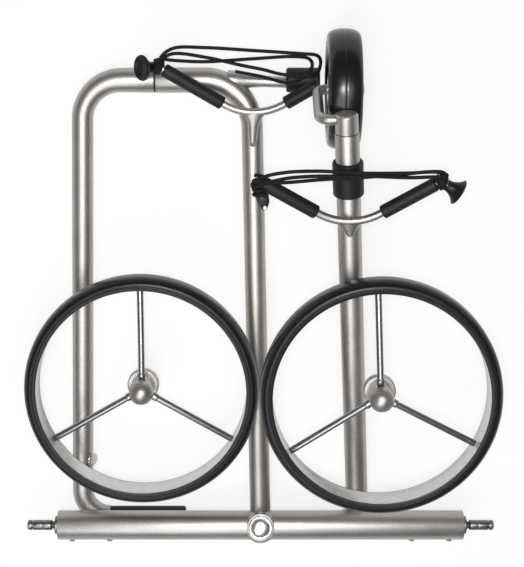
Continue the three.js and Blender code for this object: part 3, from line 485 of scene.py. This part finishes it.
# handle
handle = {"radius": 0.013, "top": 0.2165, "bottom": 0.231, "bottomY": -0.002, "bend": 0.0486, "hook": 0.035,
          "gripStart": 0.195, "gripEnd": 0.097, "gripRadius": 0.0123, "studY": 0.078, "studAngle": 35}
handleBottom = at(-handle["bottom"], handle["bottomY"], mainTube["crossRadius"])
handleTop = at(-handle["top"], mainTube["reach"], mainTube["crossRadius"])
handleEnd = at(-handle["gripStart"], handle["bottomY"], mainTube["crossRadius"])
handleTaper = handle["bend"] * math.pi / 2 + handle["top"] - mainTube["joint"] - handle["bend"]


def handleRadius(run):
    return mainTube["crossRadius"] + (handle["radius"] - mainTube["crossRadius"]) * ease(run / handleTaper)


bar("handleTube", bentRoute([jointCentre - right * mainTube["seal"], handleTop, handleBottom, handleEnd],
                            [handle["bend"], handle["hook"]], 32),
    handleRadius, titanium, "handle", ["handle_tube"], sides=64)
gripLength = handle["gripStart"] - handle["gripEnd"]
turned("handleGrip", [(0, 0.0003), (0.0117, 0.0003), (handle["gripRadius"], 0.0009),
                      *rounded(handle["gripRadius"], 0.002, gripLength, 0.003, 8)[6:], (0, gripLength)],
       facing(handleEnd, right), gripRubber, "handle", ["handle_grip"], bevel=0)
studTurn = math.radians(handle["studAngle"])
studWay = Vector((math.cos(studTurn), 0, math.sin(studTurn)))
studShare = (handle["studY"] - handle["bottomY"]) / (mainTube["reach"] - handle["bottomY"])
stud = {"radius": 0.0086, "foot": 0.009, "top": 0.018, "edge": 0.0018}
turned("handleStud", [(0, stud["foot"]),
                      *rounded(stud["radius"], stud["foot"], stud["top"], stud["edge"])[6:],
                      (0, stud["top"])],
       facing(handleBottom.lerp(handleTop, studShare), studWay), brushedSteel, "handle",
       ["handle_stud"], bevel=0)
print("handle made")

# front arm
arm = {"radius": 0.014, "elbowX": 0.126, "elbow": 0.024, "topX": 0.0982, "slope": 14.3, "crownY": 0.514,
       "start": 0.0125, "bore": 0.0143}
lugCentre = axleCentre - pivotWay * pivot["lugDrop"]
lugPlace = Vector((0, -math.sin(math.radians(pivot["tilt"])) * pivot["lugDrop"], lugCentre.z))
armRise = math.tan(math.radians(arm["slope"]))
armLean = (arm["topX"] - arm["elbowX"]) / (arm["crownY"] - lugPlace.y)


def armAt(y):
    run = y - lugPlace.y
    return at(arm["elbowX"] + armLean * run, y, lugPlace.z + armRise * run)


armWay = (armAt(1) - armAt(0)).normalized()
armEnd = armAt(arm["crownY"])


def onArm(y):
    return facing(armAt(y), armWay)


bar("frontArmTube", bentRoute([lugCentre + right * arm["start"],
                               at(arm["elbowX"], lugPlace.y, lugPlace.z), armEnd], [arm["elbow"]], 24),
    arm["radius"], titanium, "front_arm", ["front_arm_tube"], sides=64)
lug = {"bore": 0.0053, "recess": 0.01, "recessTop": -0.0045, "low": -0.0115, "radius": 0.017, "top": 0.015}
turned("armLug", [(lug["bore"], lug["recessTop"]), (lug["recess"], lug["recessTop"]),
                  (lug["recess"], lug["low"]), (lug["radius"], lug["low"]), (lug["radius"], lug["top"]),
                  (lug["bore"], lug["top"]), (lug["bore"], lug["recessTop"])],
       facing(lugCentre, pivotWay), titanium, "front_arm", bevel=0.0006)
bumper = {"y": 0.017, "radius": 0.0154, "length": 0.009, "edge": 0.0007}
turned("armBumper", closed(rounded(bumper["radius"], 0, bumper["length"], bumper["edge"]), arm["bore"]),
       onArm(bumper["y"]), gripRubber, "front_arm", ["arm_bumper"], bevel=0)
sleeve = {"y": 0.44, "radius": 0.018, "length": 0.042, "edge": 0.0026}
turned("armSleeve", closed(rounded(sleeve["radius"], 0, sleeve["length"], sleeve["edge"], 8), arm["bore"]),
       onArm(sleeve["y"]), gripRubber, "front_arm", ["arm_sleeve"], bevel=0)
crown = {"radius": 0.0132, "length": 0.023, "edge": 0.0024, "rodFromTop": 0.0075}
turned("forkCrown", [(0, -0.018), (0.01, -0.018), (0.01, 0.0003), (0.0126, 0.0003), (crown["radius"], 0.0009),
                     *rounded(crown["radius"], 0.003, crown["length"], crown["edge"], 8)[9:],
                     (0, crown["length"] + 0.0003)],
       facing(armEnd, armWay), titanium, "front_arm", ["fork_crown"], bevel=0)

wheelFront = {"x": 0.0978, "y": 0.555727, "z": 0.072195, "half": 0.0195, "treadFoot": 0.0605,
              "treadRise": 0.0105, "treadPower": 0.72, "bead": 0.0199}
fork = {"radius": 0.006, "side": 0.0667, "seat": 0.0066, "bend": 0.013, "nut": 0.005}
hubFront = at(wheelFront["x"], wheelFront["y"], wheelFront["z"])
forkTop = armEnd + armWay * (crown["length"] - crown["rodFromTop"])
forkElbow = Vector((fork["side"], forkTop.y, forkTop.z))
axleStart = Vector((fork["side"], hubFront.y, hubFront.z))
bar("forkRod", bentRoute([forkTop - right * fork["seat"], forkElbow, axleStart,
                          hubFront + right * (wheelFront["half"] + fork["nut"])], [fork["bend"]] * 2, 24),
    fork["radius"], titanium, "front_arm", ["fork_rod"])
turned("frontNut", closed([(0.0094, 0), (0.0094, 0.0011), (0.0082, 0.0015), (0.008, 0.0039),
                           (0.0071, 0.0047)], 0.0062),
       facing(hubFront + right * (wheelFront["half"] + 0.0003), right), steel, "front_arm", ["front_nut"],
       bevel=0.0002)
print("front arm made")


# front wheel
def mirrored(side):
    lower = [(radius, -height) for radius, height in reversed(side)]
    return lower + side + [lower[0]]


def crowned(foot, rise, half, power, steps=16):  # the upper half of a tread, from its middle out
    angles = [math.pi / 2 * i / steps for i in range(1, steps + 1)]
    return [(foot + rise * max(math.cos(a), 0) ** power, half * math.sin(a)) for a in angles]


onFrontHub = facing(hubFront, right)
frontSide = [(0.0705, 0), (0.0709, 0.0005),
             *crowned(wheelFront["treadFoot"], wheelFront["treadRise"], wheelFront["half"],
                      wheelFront["treadPower"]),
             (0.057, wheelFront["half"]), (0.0565, wheelFront["bead"]), (0.0558, wheelFront["bead"]),
             (0.0553, wheelFront["half"]), (0.052, wheelFront["half"]), (0.0463, 0.0165)]
turned("frontTyre", mirrored(frontSide), onFrontHub, frontRubber, "front_wheel", ["front_tyre"],
       bevel=0.0003, steps=112)
hubSide = [(0.046, 0.0155), (0.041, 0.0155), (0.0372, 0.0062), (0.0213, 0.0062), (0.0183, 0.0185),
           (0.0143, 0.0185), (0.0143, 0.0109), (0.008, 0.0109)]
turned("frontHub", mirrored(hubSide), onFrontHub, mouldedPlastic, "front_wheel", ["front_hub"],
       bevel=0.0008, steps=96)
print("front wheel made")

# rear wheels
rear = {"rim": 0.1322, "rimInside": 0.129, "hub": 0.015, "ball": 0.014,
        "barrel": 0.0135, "hubLow": -0.016, "socket": 0.0195, "socketGap": 0.0005, "socketLength": 0.013,
        "socketEdge": 0.0016, "bore": 0.007, "spoke": 0.004, "root": 0.005, "spokeFrom": 0.0132,
        "spokeTo": 0.1282, "spokeRise": 0.001}
rearSide = [(0.1445, 0), (0.1445, 0.004), (0.1443, 0.008), (0.1437, 0.0115), (0.1424, 0.015),
            (0.1404, 0.018), (0.1384, 0.0195), (0.1362, 0.02), (0.1349, 0.02), (0.1345, 0.0205),
            (0.1338, 0.0207), (0.1331, 0.0205), (0.1327, 0.02), (0.1304, 0.0199), (0.1292, 0.0195),
            (0.1289, 0.0188), (0.1325, 0.0188)]
rimSide = [(rear["rim"], 0.0185), (rear["rimInside"], 0.0185), (rear["rimInside"], 0.0155),
           (0.1297, 0.0135), (0.13, 0.006), (0.13, 0)]
ballLow = math.pi - math.asin(rear["barrel"] / rear["hub"])
ballPoints = [(rear["hub"] * math.sin(a), rear["ball"] + rear["hub"] * math.cos(a))
              for a in [ballLow * (1 - i / 24) for i in range(25)]]
ballPoints[-1] = (0, rear["ball"] + rear["hub"])
hubProfile = [(0, 0.012), (rear["bore"], 0.012), (rear["bore"], -0.0077), (0.0107, -0.0077),
              (0.0107, rear["hubLow"]), (rear["barrel"], rear["hubLow"]), *ballPoints]
spokeProfile = [(0, rear["spokeFrom"]), (rear["root"], rear["spokeFrom"]), (rear["root"], 0.0205),
                (0.0047, 0.0211), (rear["spoke"], 0.022), (rear["spoke"], rear["spokeTo"]),
                (0, rear["spokeTo"])]
socketTop = rear["hubLow"] - rear["socketGap"]
socketLow = socketTop - rear["socketLength"]
latch = {"radius": 0.0026, "start": 0.0105, "end": 0.0265, "rise": 0.0032, "edge": 0.0011,
         "clearance": 0.0003, "boreFrom": 0.003, "boreTo": 0.03}
places = {"left": (at(-0.1463, 0.187, 0.073745), 0), "right": (at(0.1434, 0.1984, 0.137752), 2.5)}
for side, (centre, turn) in places.items():
    place = Matrix.Translation(centre)
    turned(f"{side}Tyre", mirrored(rearSide), place, tyreRubber, f"{side}_wheel", [f"{side}_tyre"],
           bevel=0, steps=160)
    turned(f"{side}Rim", mirrored(rimSide), place, rimSatin, f"{side}_wheel", [f"{side}_rim"],
           bevel=0.0003, steps=160)
    for index, angle in enumerate((90, 210, 330)):
        way = Matrix.Rotation(math.radians(angle + turn), 3, "Z") @ right
        turned(f"{side}Spoke{index + 1}", spokeProfile, facing(centre + up * rear["spokeRise"], way),
               spokeSteel, f"{side}_wheel", [f"{side}_spoke_{index + 1}"], bevel=0.0002, steps=40)
    turned(f"{side}Hub", hubProfile, place, titanium, f"{side}_wheel", [f"{side}_hub"],
           bevel=0.0004, steps=72)
    socket = turned(f"{side}HubSocket",
                    closed(rounded(rear["socket"], socketLow, socketTop, rear["socketEdge"]), rear["bore"]),
                    place, titanium, f"{side}_socket", [f"{side}_hub_socket"], bevel=0.0003, steps=72)
    onLatch = facing(centre + up * (socketLow + latch["rise"]), -ahead)
    cutHole(socket, onLatch, latch["radius"] + latch["clearance"], latch["boreFrom"], latch["boreTo"])
    turned(f"{side}LatchPin", [(0, latch["start"]), (0.0024, latch["start"]), (latch["radius"], 0.0107),
                               *rounded(latch["radius"], 0.012, latch["end"], latch["edge"])[6:],
                               (0, latch["end"])],
           onLatch, steel, f"{side}_latch", [f"{side}_latch_pin"], bevel=0, steps=32)
print("rear wheels made")

# bag brackets
bracket = {"radius": 0.0047, "spread": 31, "bend": 0.07, "hookBend": 0.006, "grip": 0.0082,
           "gripStart": 0.046, "gripEdge": 0.0026, "gripBore": 0.0002, "longer": 0.0022,
           "plainLonger": 0.001, "plainCap": 0.0015, "knobHook": 0.016, "knob": 0.0155, "neck": 0.0066,
           "neckRun": 0.009, "length": 0.017, "flarePower": 2.2, "knobOut": 0.002, "tipOut": 0.0018,
           "leg": 0.0052, "legSkin": 0.0012, "saddle": 0.001, "web": 0.0095, "webReach": 0.022, "taper": 4}


def frameAt(y):
    return axleCentre.lerp(frameTop, y / mainTube["reach"])


def bracketPlane(x, y, tubeAt, height, slope):
    place = at(x, y, tubeAt(y).z + height)
    return Matrix.Translation(place) @ Matrix.Rotation(math.radians(slope), 4, "X")


def wayOf(sign):
    spread = math.radians(bracket["spread"])
    return Vector((sign * math.cos(spread), math.sin(spread), 0))


def inPlane(plane, route):
    turn = plane.to_3x3()
    return [(plane @ point, (turn @ way).normalized()) for point, way in route]


def hookOf(sign, gripEnd, turn):
    corner = wayOf(sign) * (gripEnd + bracket["knobHook"] / 2)
    way = Matrix.Rotation(-sign * math.radians(turn), 3, "Z") @ wayOf(sign)
    return corner, corner + way * bracket["knobHook"] / 2, way


def bracketLeg(name, plane, foot, stands):  # a leg with webs to both arms, drawn out to a point
    sag = bracket["bend"] * (1 / math.cos(math.radians(bracket["spread"])) - 1)
    saddle = plane @ Vector((0, sag + bracket["saddle"], 0))
    route = straight(saddle, foot, 36)
    length = (foot - saddle).length
    facingUp = (plane.to_3x3() @ up).normalized()

    def legRadius(run):
        share = run / length
        web = bracket["web"] * max(0, 1 - run / bracket["webReach"]) ** 2
        return bracket["leg"] * math.sqrt(max(0, 1 - share ** bracket["taper"])) + bracket["legSkin"] + web

    bm = bmesh.new()
    sweep(bm, route, legRadius, 40)
    axis = route[0][1]
    flat = (facingUp - axis * facingUp.dot(axis)).normalized()
    for vert in bm.verts:
        run = (vert.co - saddle).dot(axis)
        over = min(1, bracket["radius"] / legRadius(max(run, 0)))
        rise = (vert.co - saddle).dot(flat)
        vert.co -= flat * rise * (1 - over)
    finishEdges(bm, 0.0003)
    return keep(name, bm, titanium, *stands)


def coil(centre, way, radius, pitch, turns, start=0.0, stepsPerTurn=28):
    place = facing(centre, way)
    route = []
    for step in range(round(turns * stepsPerTurn) + 1):
        angle = start + math.tau * step / stepsPerTurn
        point = Vector((radius * math.cos(angle), radius * math.sin(angle), pitch * step / stepsPerTurn))
        forward = Vector((-radius * math.sin(angle), radius * math.cos(angle), pitch / math.tau)).normalized()
        route.append((place @ point, (place.to_3x3() @ forward).normalized()))
    return route


def makeBracket(which, x, y, tubeAt, tubeRadius, stand, slope, hook, plainEnd, leg, legLift, knobTilt, body):
    plane = bracketPlane(x, y, tubeAt, tubeRadius + stand, slope)
    sign, gripEnd, turn = hook
    corner, neck, way = hookOf(*hook)
    corners = [wayOf(-sign) * (plainEnd + bracket["plainCap"]), Vector(), corner,
               neck + way * bracket["neckRun"]]
    route = inPlane(plane, bentRoute(corners, [bracket["bend"], bracket["hookBend"]], 24))
    bar(f"{which}Bracket", route, bracket["radius"], titanium, body, [f"{which}_bracket"], bevel=0.0005)
    sag = bracket["bend"] * (1 / math.cos(math.radians(bracket["spread"])) - 1)
    footY = (plane @ Vector((0, sag, 0))).y - axleMiddle.y - leg
    bracketLeg(f"{which}BracketLeg", plane, tubeAt(footY) + up * (tubeRadius + legLift), (body,))
    turnOf = plane.to_3x3()
    for gripSide, gripSign in (("left", -1), ("right", 1)):
        end = gripEnd if gripSign == sign else plainEnd
        gripStart = bracket["gripStart"] - bracket["longer"]
        length = end + bracket["longer" if gripSign == sign else "plainLonger"] - gripStart
        start = facing(plane @ (wayOf(gripSign) * gripStart), turnOf @ wayOf(gripSign))
        turned(f"{which}Grip{gripSide.capitalize()}",
               closed(rounded(bracket["grip"], 0, length, bracket["gripEdge"], 8),
                      bracket["radius"] + bracket["gripBore"]),
               start, gripRubber, body, [f"{which}_grip_{gripSide}"], bevel=0, steps=56)
    flare = [(bracket["neck"] + (bracket["knob"] - bracket["neck"]) * (i / 14) ** bracket["flarePower"],
              bracket["length"] * i / 14) for i in range(14)]
    face = [(0.0154, 0.0164), (0.0155, 0.0168), (0.0152, 0.0173), (0.0146, 0.0174), (0.0139, 0.0171),
            (0.0122, 0.0152), (0.0102, 0.0138), (0.0088, 0.0134), (0.0082, 0.0139), (0.0074, 0.0145),
            (0.0062, 0.0146), (0.0052, 0.0141), (0.0045, 0.0135), (0, 0.0132)]
    level = (turnOf @ way).normalized()
    knobWay = (level + up * math.tan(math.radians(knobTilt))).normalized()
    turned(f"{which}Knob", [(0, 0), *flare, *face],
           facing(plane @ neck + (knobWay - level) * bracket["knobOut"], knobWay),
           mouldedPlastic, body, [f"{which}_knob"], bevel=0.0002, steps=64)
    gripTip = wayOf(sign) * (gripEnd + bracket["longer"] + bracket["tipOut"])
    return plane @ neck, (turnOf @ way).normalized(), plane @ gripTip, turnOf @ wayOf(sign)


upperEnds = makeBracket("upper", -0.0078, 0.5138, frameAt, mainTube["radius"], 0.0075, 11,
                        (-1, 0.123, 31), 0.088, 0.043, -0.0012, 42, "frame")
lowerEnds = makeBracket("lower", 0.1024, 0.3996, armAt, arm["radius"], 0.0065, arm["slope"],
                        (1, 0.112, 64), 0.116, 0.019, 0.0035, 2, "front_arm")
print("brackets made")


# elastic cords
def cordThrough(points, steps=10):  # a smooth line through given points
    spots = [at(x / 1000, y / 1000, z / 1000) for x, y, z in points]
    spots = [2 * spots[0] - spots[1], *spots, 2 * spots[-1] - spots[-2]]
    line = []
    for before, start, end, after in zip(spots, spots[1:], spots[2:], spots[3:]):
        a, b, c = [(q - p).length ** 0.5 for p, q in ((before, start), (start, end), (end, after))]
        leave = ((start - before) / a - (end - before) / (a + b) + (end - start) / b) * b
        enter = ((end - start) / b - (after - start) / (b + c) + (after - end) / c) * b
        line += mathutils.geometry.interpolate_bezier(start, start + leave / 3, end - enter / 3, end,
                                                      steps + 1)[:-1]
    line.append(spots[-2])
    ways = [(line[min(i + 1, len(line) - 1)] - line[max(i - 1, 0)]).normalized() for i in range(len(line))]
    return list(zip(line, ways))


cord = {"radius": 0.0021, "sides": 16, "turnRadius": 0.0071, "turnPitch": 0.0039, "turnFrom": 0.0096,
        "turns": 2, "wrapRadius": 0.0069, "wrapPitch": 0.0038, "wrapTurns": 1.6, "wrapFrom": 2}
upperOuter = [
    (-121, 586, 55), (-115.5, 595, 54.5), (-102.4, 602.5, 53.5), (-66.9, 603.1, 53.5), (-10, 599.7, 53.5),
    (46.8, 596, 53), (66, 594, 51), (71.5, 588, 42), (71.5, 580, 38), (68, 573, 44), (58, 570, 52),
    (25.6, 571.6, 53), (4.2, 576.9, 53), (-24.3, 582.6, 53), (-66.9, 592, 53.3), (-104.8, 595.6, 52),
    (-121, 587, 50),
]
upperInner = [
    (-127, 587, 49), (-120, 589, 47), (-102.8, 587.5, 47), (-67.1, 586, 47), (-10.1, 589.4, 47),
    (40, 592, 46.5), (58, 589, 42), (62, 581, 38), (54, 569, 37), (35.2, 560.5, 40), (1.8, 568.2, 45),
    (-30.3, 574.5, 47),
]
lowerNear = [
    (-1.5, 441, 145.1), (-1.5, 441.5, 148.5), (-6.5, 449, 157), (-2, 456, 166.5), (27.9, 463.7, 164),
    (67.5, 466.5, 163.5), (98.1, 465.8, 163), (126.4, 466, 162.5), (169.8, 464.7, 163), (198, 465.5, 163),
    (210.5, 464.5, 161),
]
lowerFar = [
    (-6.5, 449, 157), (-9, 457, 160), (2, 465, 164), (27.8, 470.9, 165.5), (67.3, 472.5, 166),
    (97.9, 470.8, 165.5), (126.2, 469.9, 165), (169.5, 470, 163), (200, 470.5, 160), (213, 466.5, 156),
]
lowerThird = [
    (-5, 452, 160.5), (2, 457, 162), (32, 459, 161.5), (75, 462.5, 161), (115, 464.5, 160.5),
    (160, 468, 160.5), (192, 471, 160), (207, 470, 158), (213, 465, 155),
]
for name, points, body in (("upperCordOuter", upperOuter, "frame"), ("upperCordInner", upperInner, "frame"),
                           ("lowerCordNear", lowerNear, "front_arm"), ("lowerCordFar", lowerFar, "front_arm"),
                           ("lowerCordThird", lowerThird, "front_arm")):
    stands = [f"{name[:5]}_cord"] if name in ("upperCordOuter", "lowerCordNear") else []
    bar(name, cordThrough(points), cord["radius"], elastic, body, stands, bevel=0.0005, sides=cord["sides"])
for which, ends, body in (("upper", upperEnds, "frame"), ("lower", lowerEnds, "front_arm")):
    neck, way, tip, gripWay = ends
    turnRoute = coil(neck - way * cord["turnFrom"], way, cord["turnRadius"], cord["turnPitch"], cord["turns"])
    wrapRoute = coil(tip, gripWay, cord["wrapRadius"], cord["wrapPitch"], cord["wrapTurns"], cord["wrapFrom"])
    for part, route in (("Turn", turnRoute), ("Wrap", wrapRoute)):
        bar(f"{which}Cord{part}", route, cord["radius"], elastic, body, bevel=0.0005, sides=cord["sides"])
bunch = {"place": (-0.0015, 0.4415, 0.1545), "rise": 0.25, "radius": 0.0063, "pitch": 0.0056, "turns": 4.4,
         "cord": 0.002}
bar("cordBunch", coil(at(*bunch["place"]), (ahead + up * bunch["rise"]).normalized(), bunch["radius"],
                      bunch["pitch"], bunch["turns"]),
    bunch["cord"], elastic, "front_arm", bevel=0.0005, sides=cord["sides"])

hook = {"outline": [(-5, 446), (-5, 436), (2, 424), (7, 424), (10.5, 433), (9.5, 442), (3, 446)],
        "top": 0.1445, "thickness": 0.007, "edge": 0.0014}
bm = bmesh.new()
corners = [bm.verts.new(at(x / 1000, y / 1000, hook["top"])) for x, y in hook["outline"]]
bm.faces.new(corners)
sunk = bmesh.ops.extrude_face_region(bm, geom=bm.faces[:])["geom"]
lower = [g for g in sunk if isinstance(g, bmesh.types.BMVert)]
bmesh.ops.translate(bm, verts=lower, vec=-up * hook["thickness"])
finishEdges(bm, hook["edge"])
keep("cordHook", bm, mouldedPlastic, "front_arm", ["cord_hook"])
hookPin = {"x": 0.0052, "y": 0.4268, "radius": 0.0022, "low": -0.001, "high": 0.0009, "edge": 0.0007}
turned("hookPin", [(0, hookPin["low"]),
                   *rounded(hookPin["radius"], hookPin["low"], hookPin["high"], hookPin["edge"])[5:],
                   (0, hookPin["high"])],
       facing(at(hookPin["x"], hookPin["y"], hook["top"]), up), steel, "front_arm", bevel=0, steps=32)
print("cords made")

# floor, light and backdrop
studio = {"lamp": (1.35, 3.3), "place": (-0.24, -0.45, 2.2), "power": 44, "key": (0.28, 0.28),
          "keyPlace": (-0.06, 0.47, 2.25), "keyPower": 22, "world": 0.16, "floor": 14, "white": 0.74,
          "whiteFrom": 0.45, "whiteTo": 2.2, "bandTop": 0.1, "floorDrop": 0.0008, "floorTones": (0.9, 0.92),
          "floorGrain": 3, "floorRough": 0.95, "floorGloss": 0.1}


def seenDirectly(tree):  # 1 for what the camera, a reflection or a clear material sees
    rays = tree.nodes.new("ShaderNodeLightPath")
    seen = rays.outputs["Is Camera Ray"]
    for other in ("Is Glossy Ray", "Is Transmission Ray"):
        either = add(tree, "ShaderNodeMath", operation="MAXIMUM")
        tree.links.new(seen, either.inputs[0])
        tree.links.new(rays.outputs[other], either.inputs[1])
        seen = either.outputs[0]
    return seen


floorMaterial, tree, shader = emptyFinish("paleFloor")
place = tree.nodes.new("ShaderNodeTexCoord").outputs["Object"]
darker, paler = [grey(tone) for tone in studio["floorTones"]]
tree.links.new(ramp(tree, noise(tree, place, studio["floorGrain"], 2), [(0.2, darker), (0.8, paler)]),
               shader.inputs["Base Color"])
shader.inputs["Roughness"].default_value = studio["floorRough"]
shader.inputs["Specular IOR Level"].default_value = studio["floorGloss"]
white = add(tree, "ShaderNodeEmission", Strength=1)
white.inputs["Color"].default_value = (1, 1, 1, 1)
away = add(tree, "ShaderNodeVectorMath", operation="LENGTH")
tree.links.new(place, away.inputs[0])
rise = tree.nodes.new("ShaderNodeMapRange")
tree.links.new(away.outputs["Value"], rise.inputs["Value"])
for name, value in (("From Min", studio["whiteFrom"]), ("From Max", studio["whiteTo"]),
                    ("To Min", studio["white"]), ("To Max", 1)):
    rise.inputs[name].default_value = value
share = add(tree, "ShaderNodeMath", operation="MULTIPLY")
tree.links.new(seenDirectly(tree), share.inputs[0])
tree.links.new(rise.outputs["Result"], share.inputs[1])
blend = tree.nodes.new("ShaderNodeMixShader")
tree.links.new(share.outputs[0], blend.inputs["Fac"])
tree.links.new(shader.outputs[0], blend.inputs[1])
tree.links.new(white.outputs[0], blend.inputs[2])
tree.links.new(blend.outputs[0], tree.nodes["Material Output"].inputs["Surface"])
floorMesh = bpy.data.meshes.new("floor")
bm = bmesh.new()
bmesh.ops.create_grid(bm, x_segments=1, y_segments=1, size=studio["floor"])
bm.to_mesh(floorMesh)
bm.free()
floorMesh.materials.append(floorMaterial)
floor = bpy.data.objects.new("floor", floorMesh)
floor.location = (0, 0, -studio["floorDrop"])
bpy.context.scene.collection.objects.link(floor)
print("floor made")

for name, size, place, power in (("softbox", studio["lamp"], studio["place"], studio["power"]),
                                 ("keyLamp", studio["key"], studio["keyPlace"], studio["keyPower"])):
    lampData = bpy.data.lights.new(name, "AREA")
    lampData.shape = "RECTANGLE"
    lampData.size, lampData.size_y = size
    lampData.energy = power
    lamp = bpy.data.objects.new(name, lampData)
    lamp.location = place
    lamp.rotation_euler = Vector(place).to_track_quat("Z", "Y").to_euler()
    bpy.context.scene.collection.objects.link(lamp)

world = bpy.data.worlds.new("studio")
bpy.context.scene.world = world
world.use_nodes = True
sky = world.node_tree
background = sky.nodes["Background"]
background.inputs["Color"].default_value = (1, 1, 1, 1)
direction = sky.nodes.new("ShaderNodeSeparateXYZ")
sky.links.new(sky.nodes.new("ShaderNodeTexCoord").outputs["Generated"], direction.inputs[0])
band = add(sky, "ShaderNodeMath", operation="LESS_THAN")  # in reflections, white only just over the horizon
sky.links.new(direction.outputs["Z"], band.inputs[0])
band.inputs[1].default_value = studio["bandTop"]
whiteSeen = add(sky, "ShaderNodeMath", operation="MULTIPLY")
sky.links.new(band.outputs[0], whiteSeen.inputs[0])
sky.links.new(seenDirectly(sky), whiteSeen.inputs[1])
whiteShown = add(sky, "ShaderNodeMath", operation="MAXIMUM")  # the camera sees the whole sky white
sky.links.new(whiteSeen.outputs[0], whiteShown.inputs[0])
sky.links.new(sky.nodes.new("ShaderNodeLightPath").outputs["Is Camera Ray"], whiteShown.inputs[1])
strength = add(sky, "ShaderNodeMix", data_type="FLOAT")
sky.links.new(whiteShown.outputs[0], strength.inputs["Factor"])
strength.inputs["A"].default_value = studio["world"]
strength.inputs["B"].default_value = 1
sky.links.new(strength.outputs["Result"], background.inputs["Strength"])
print("light made")
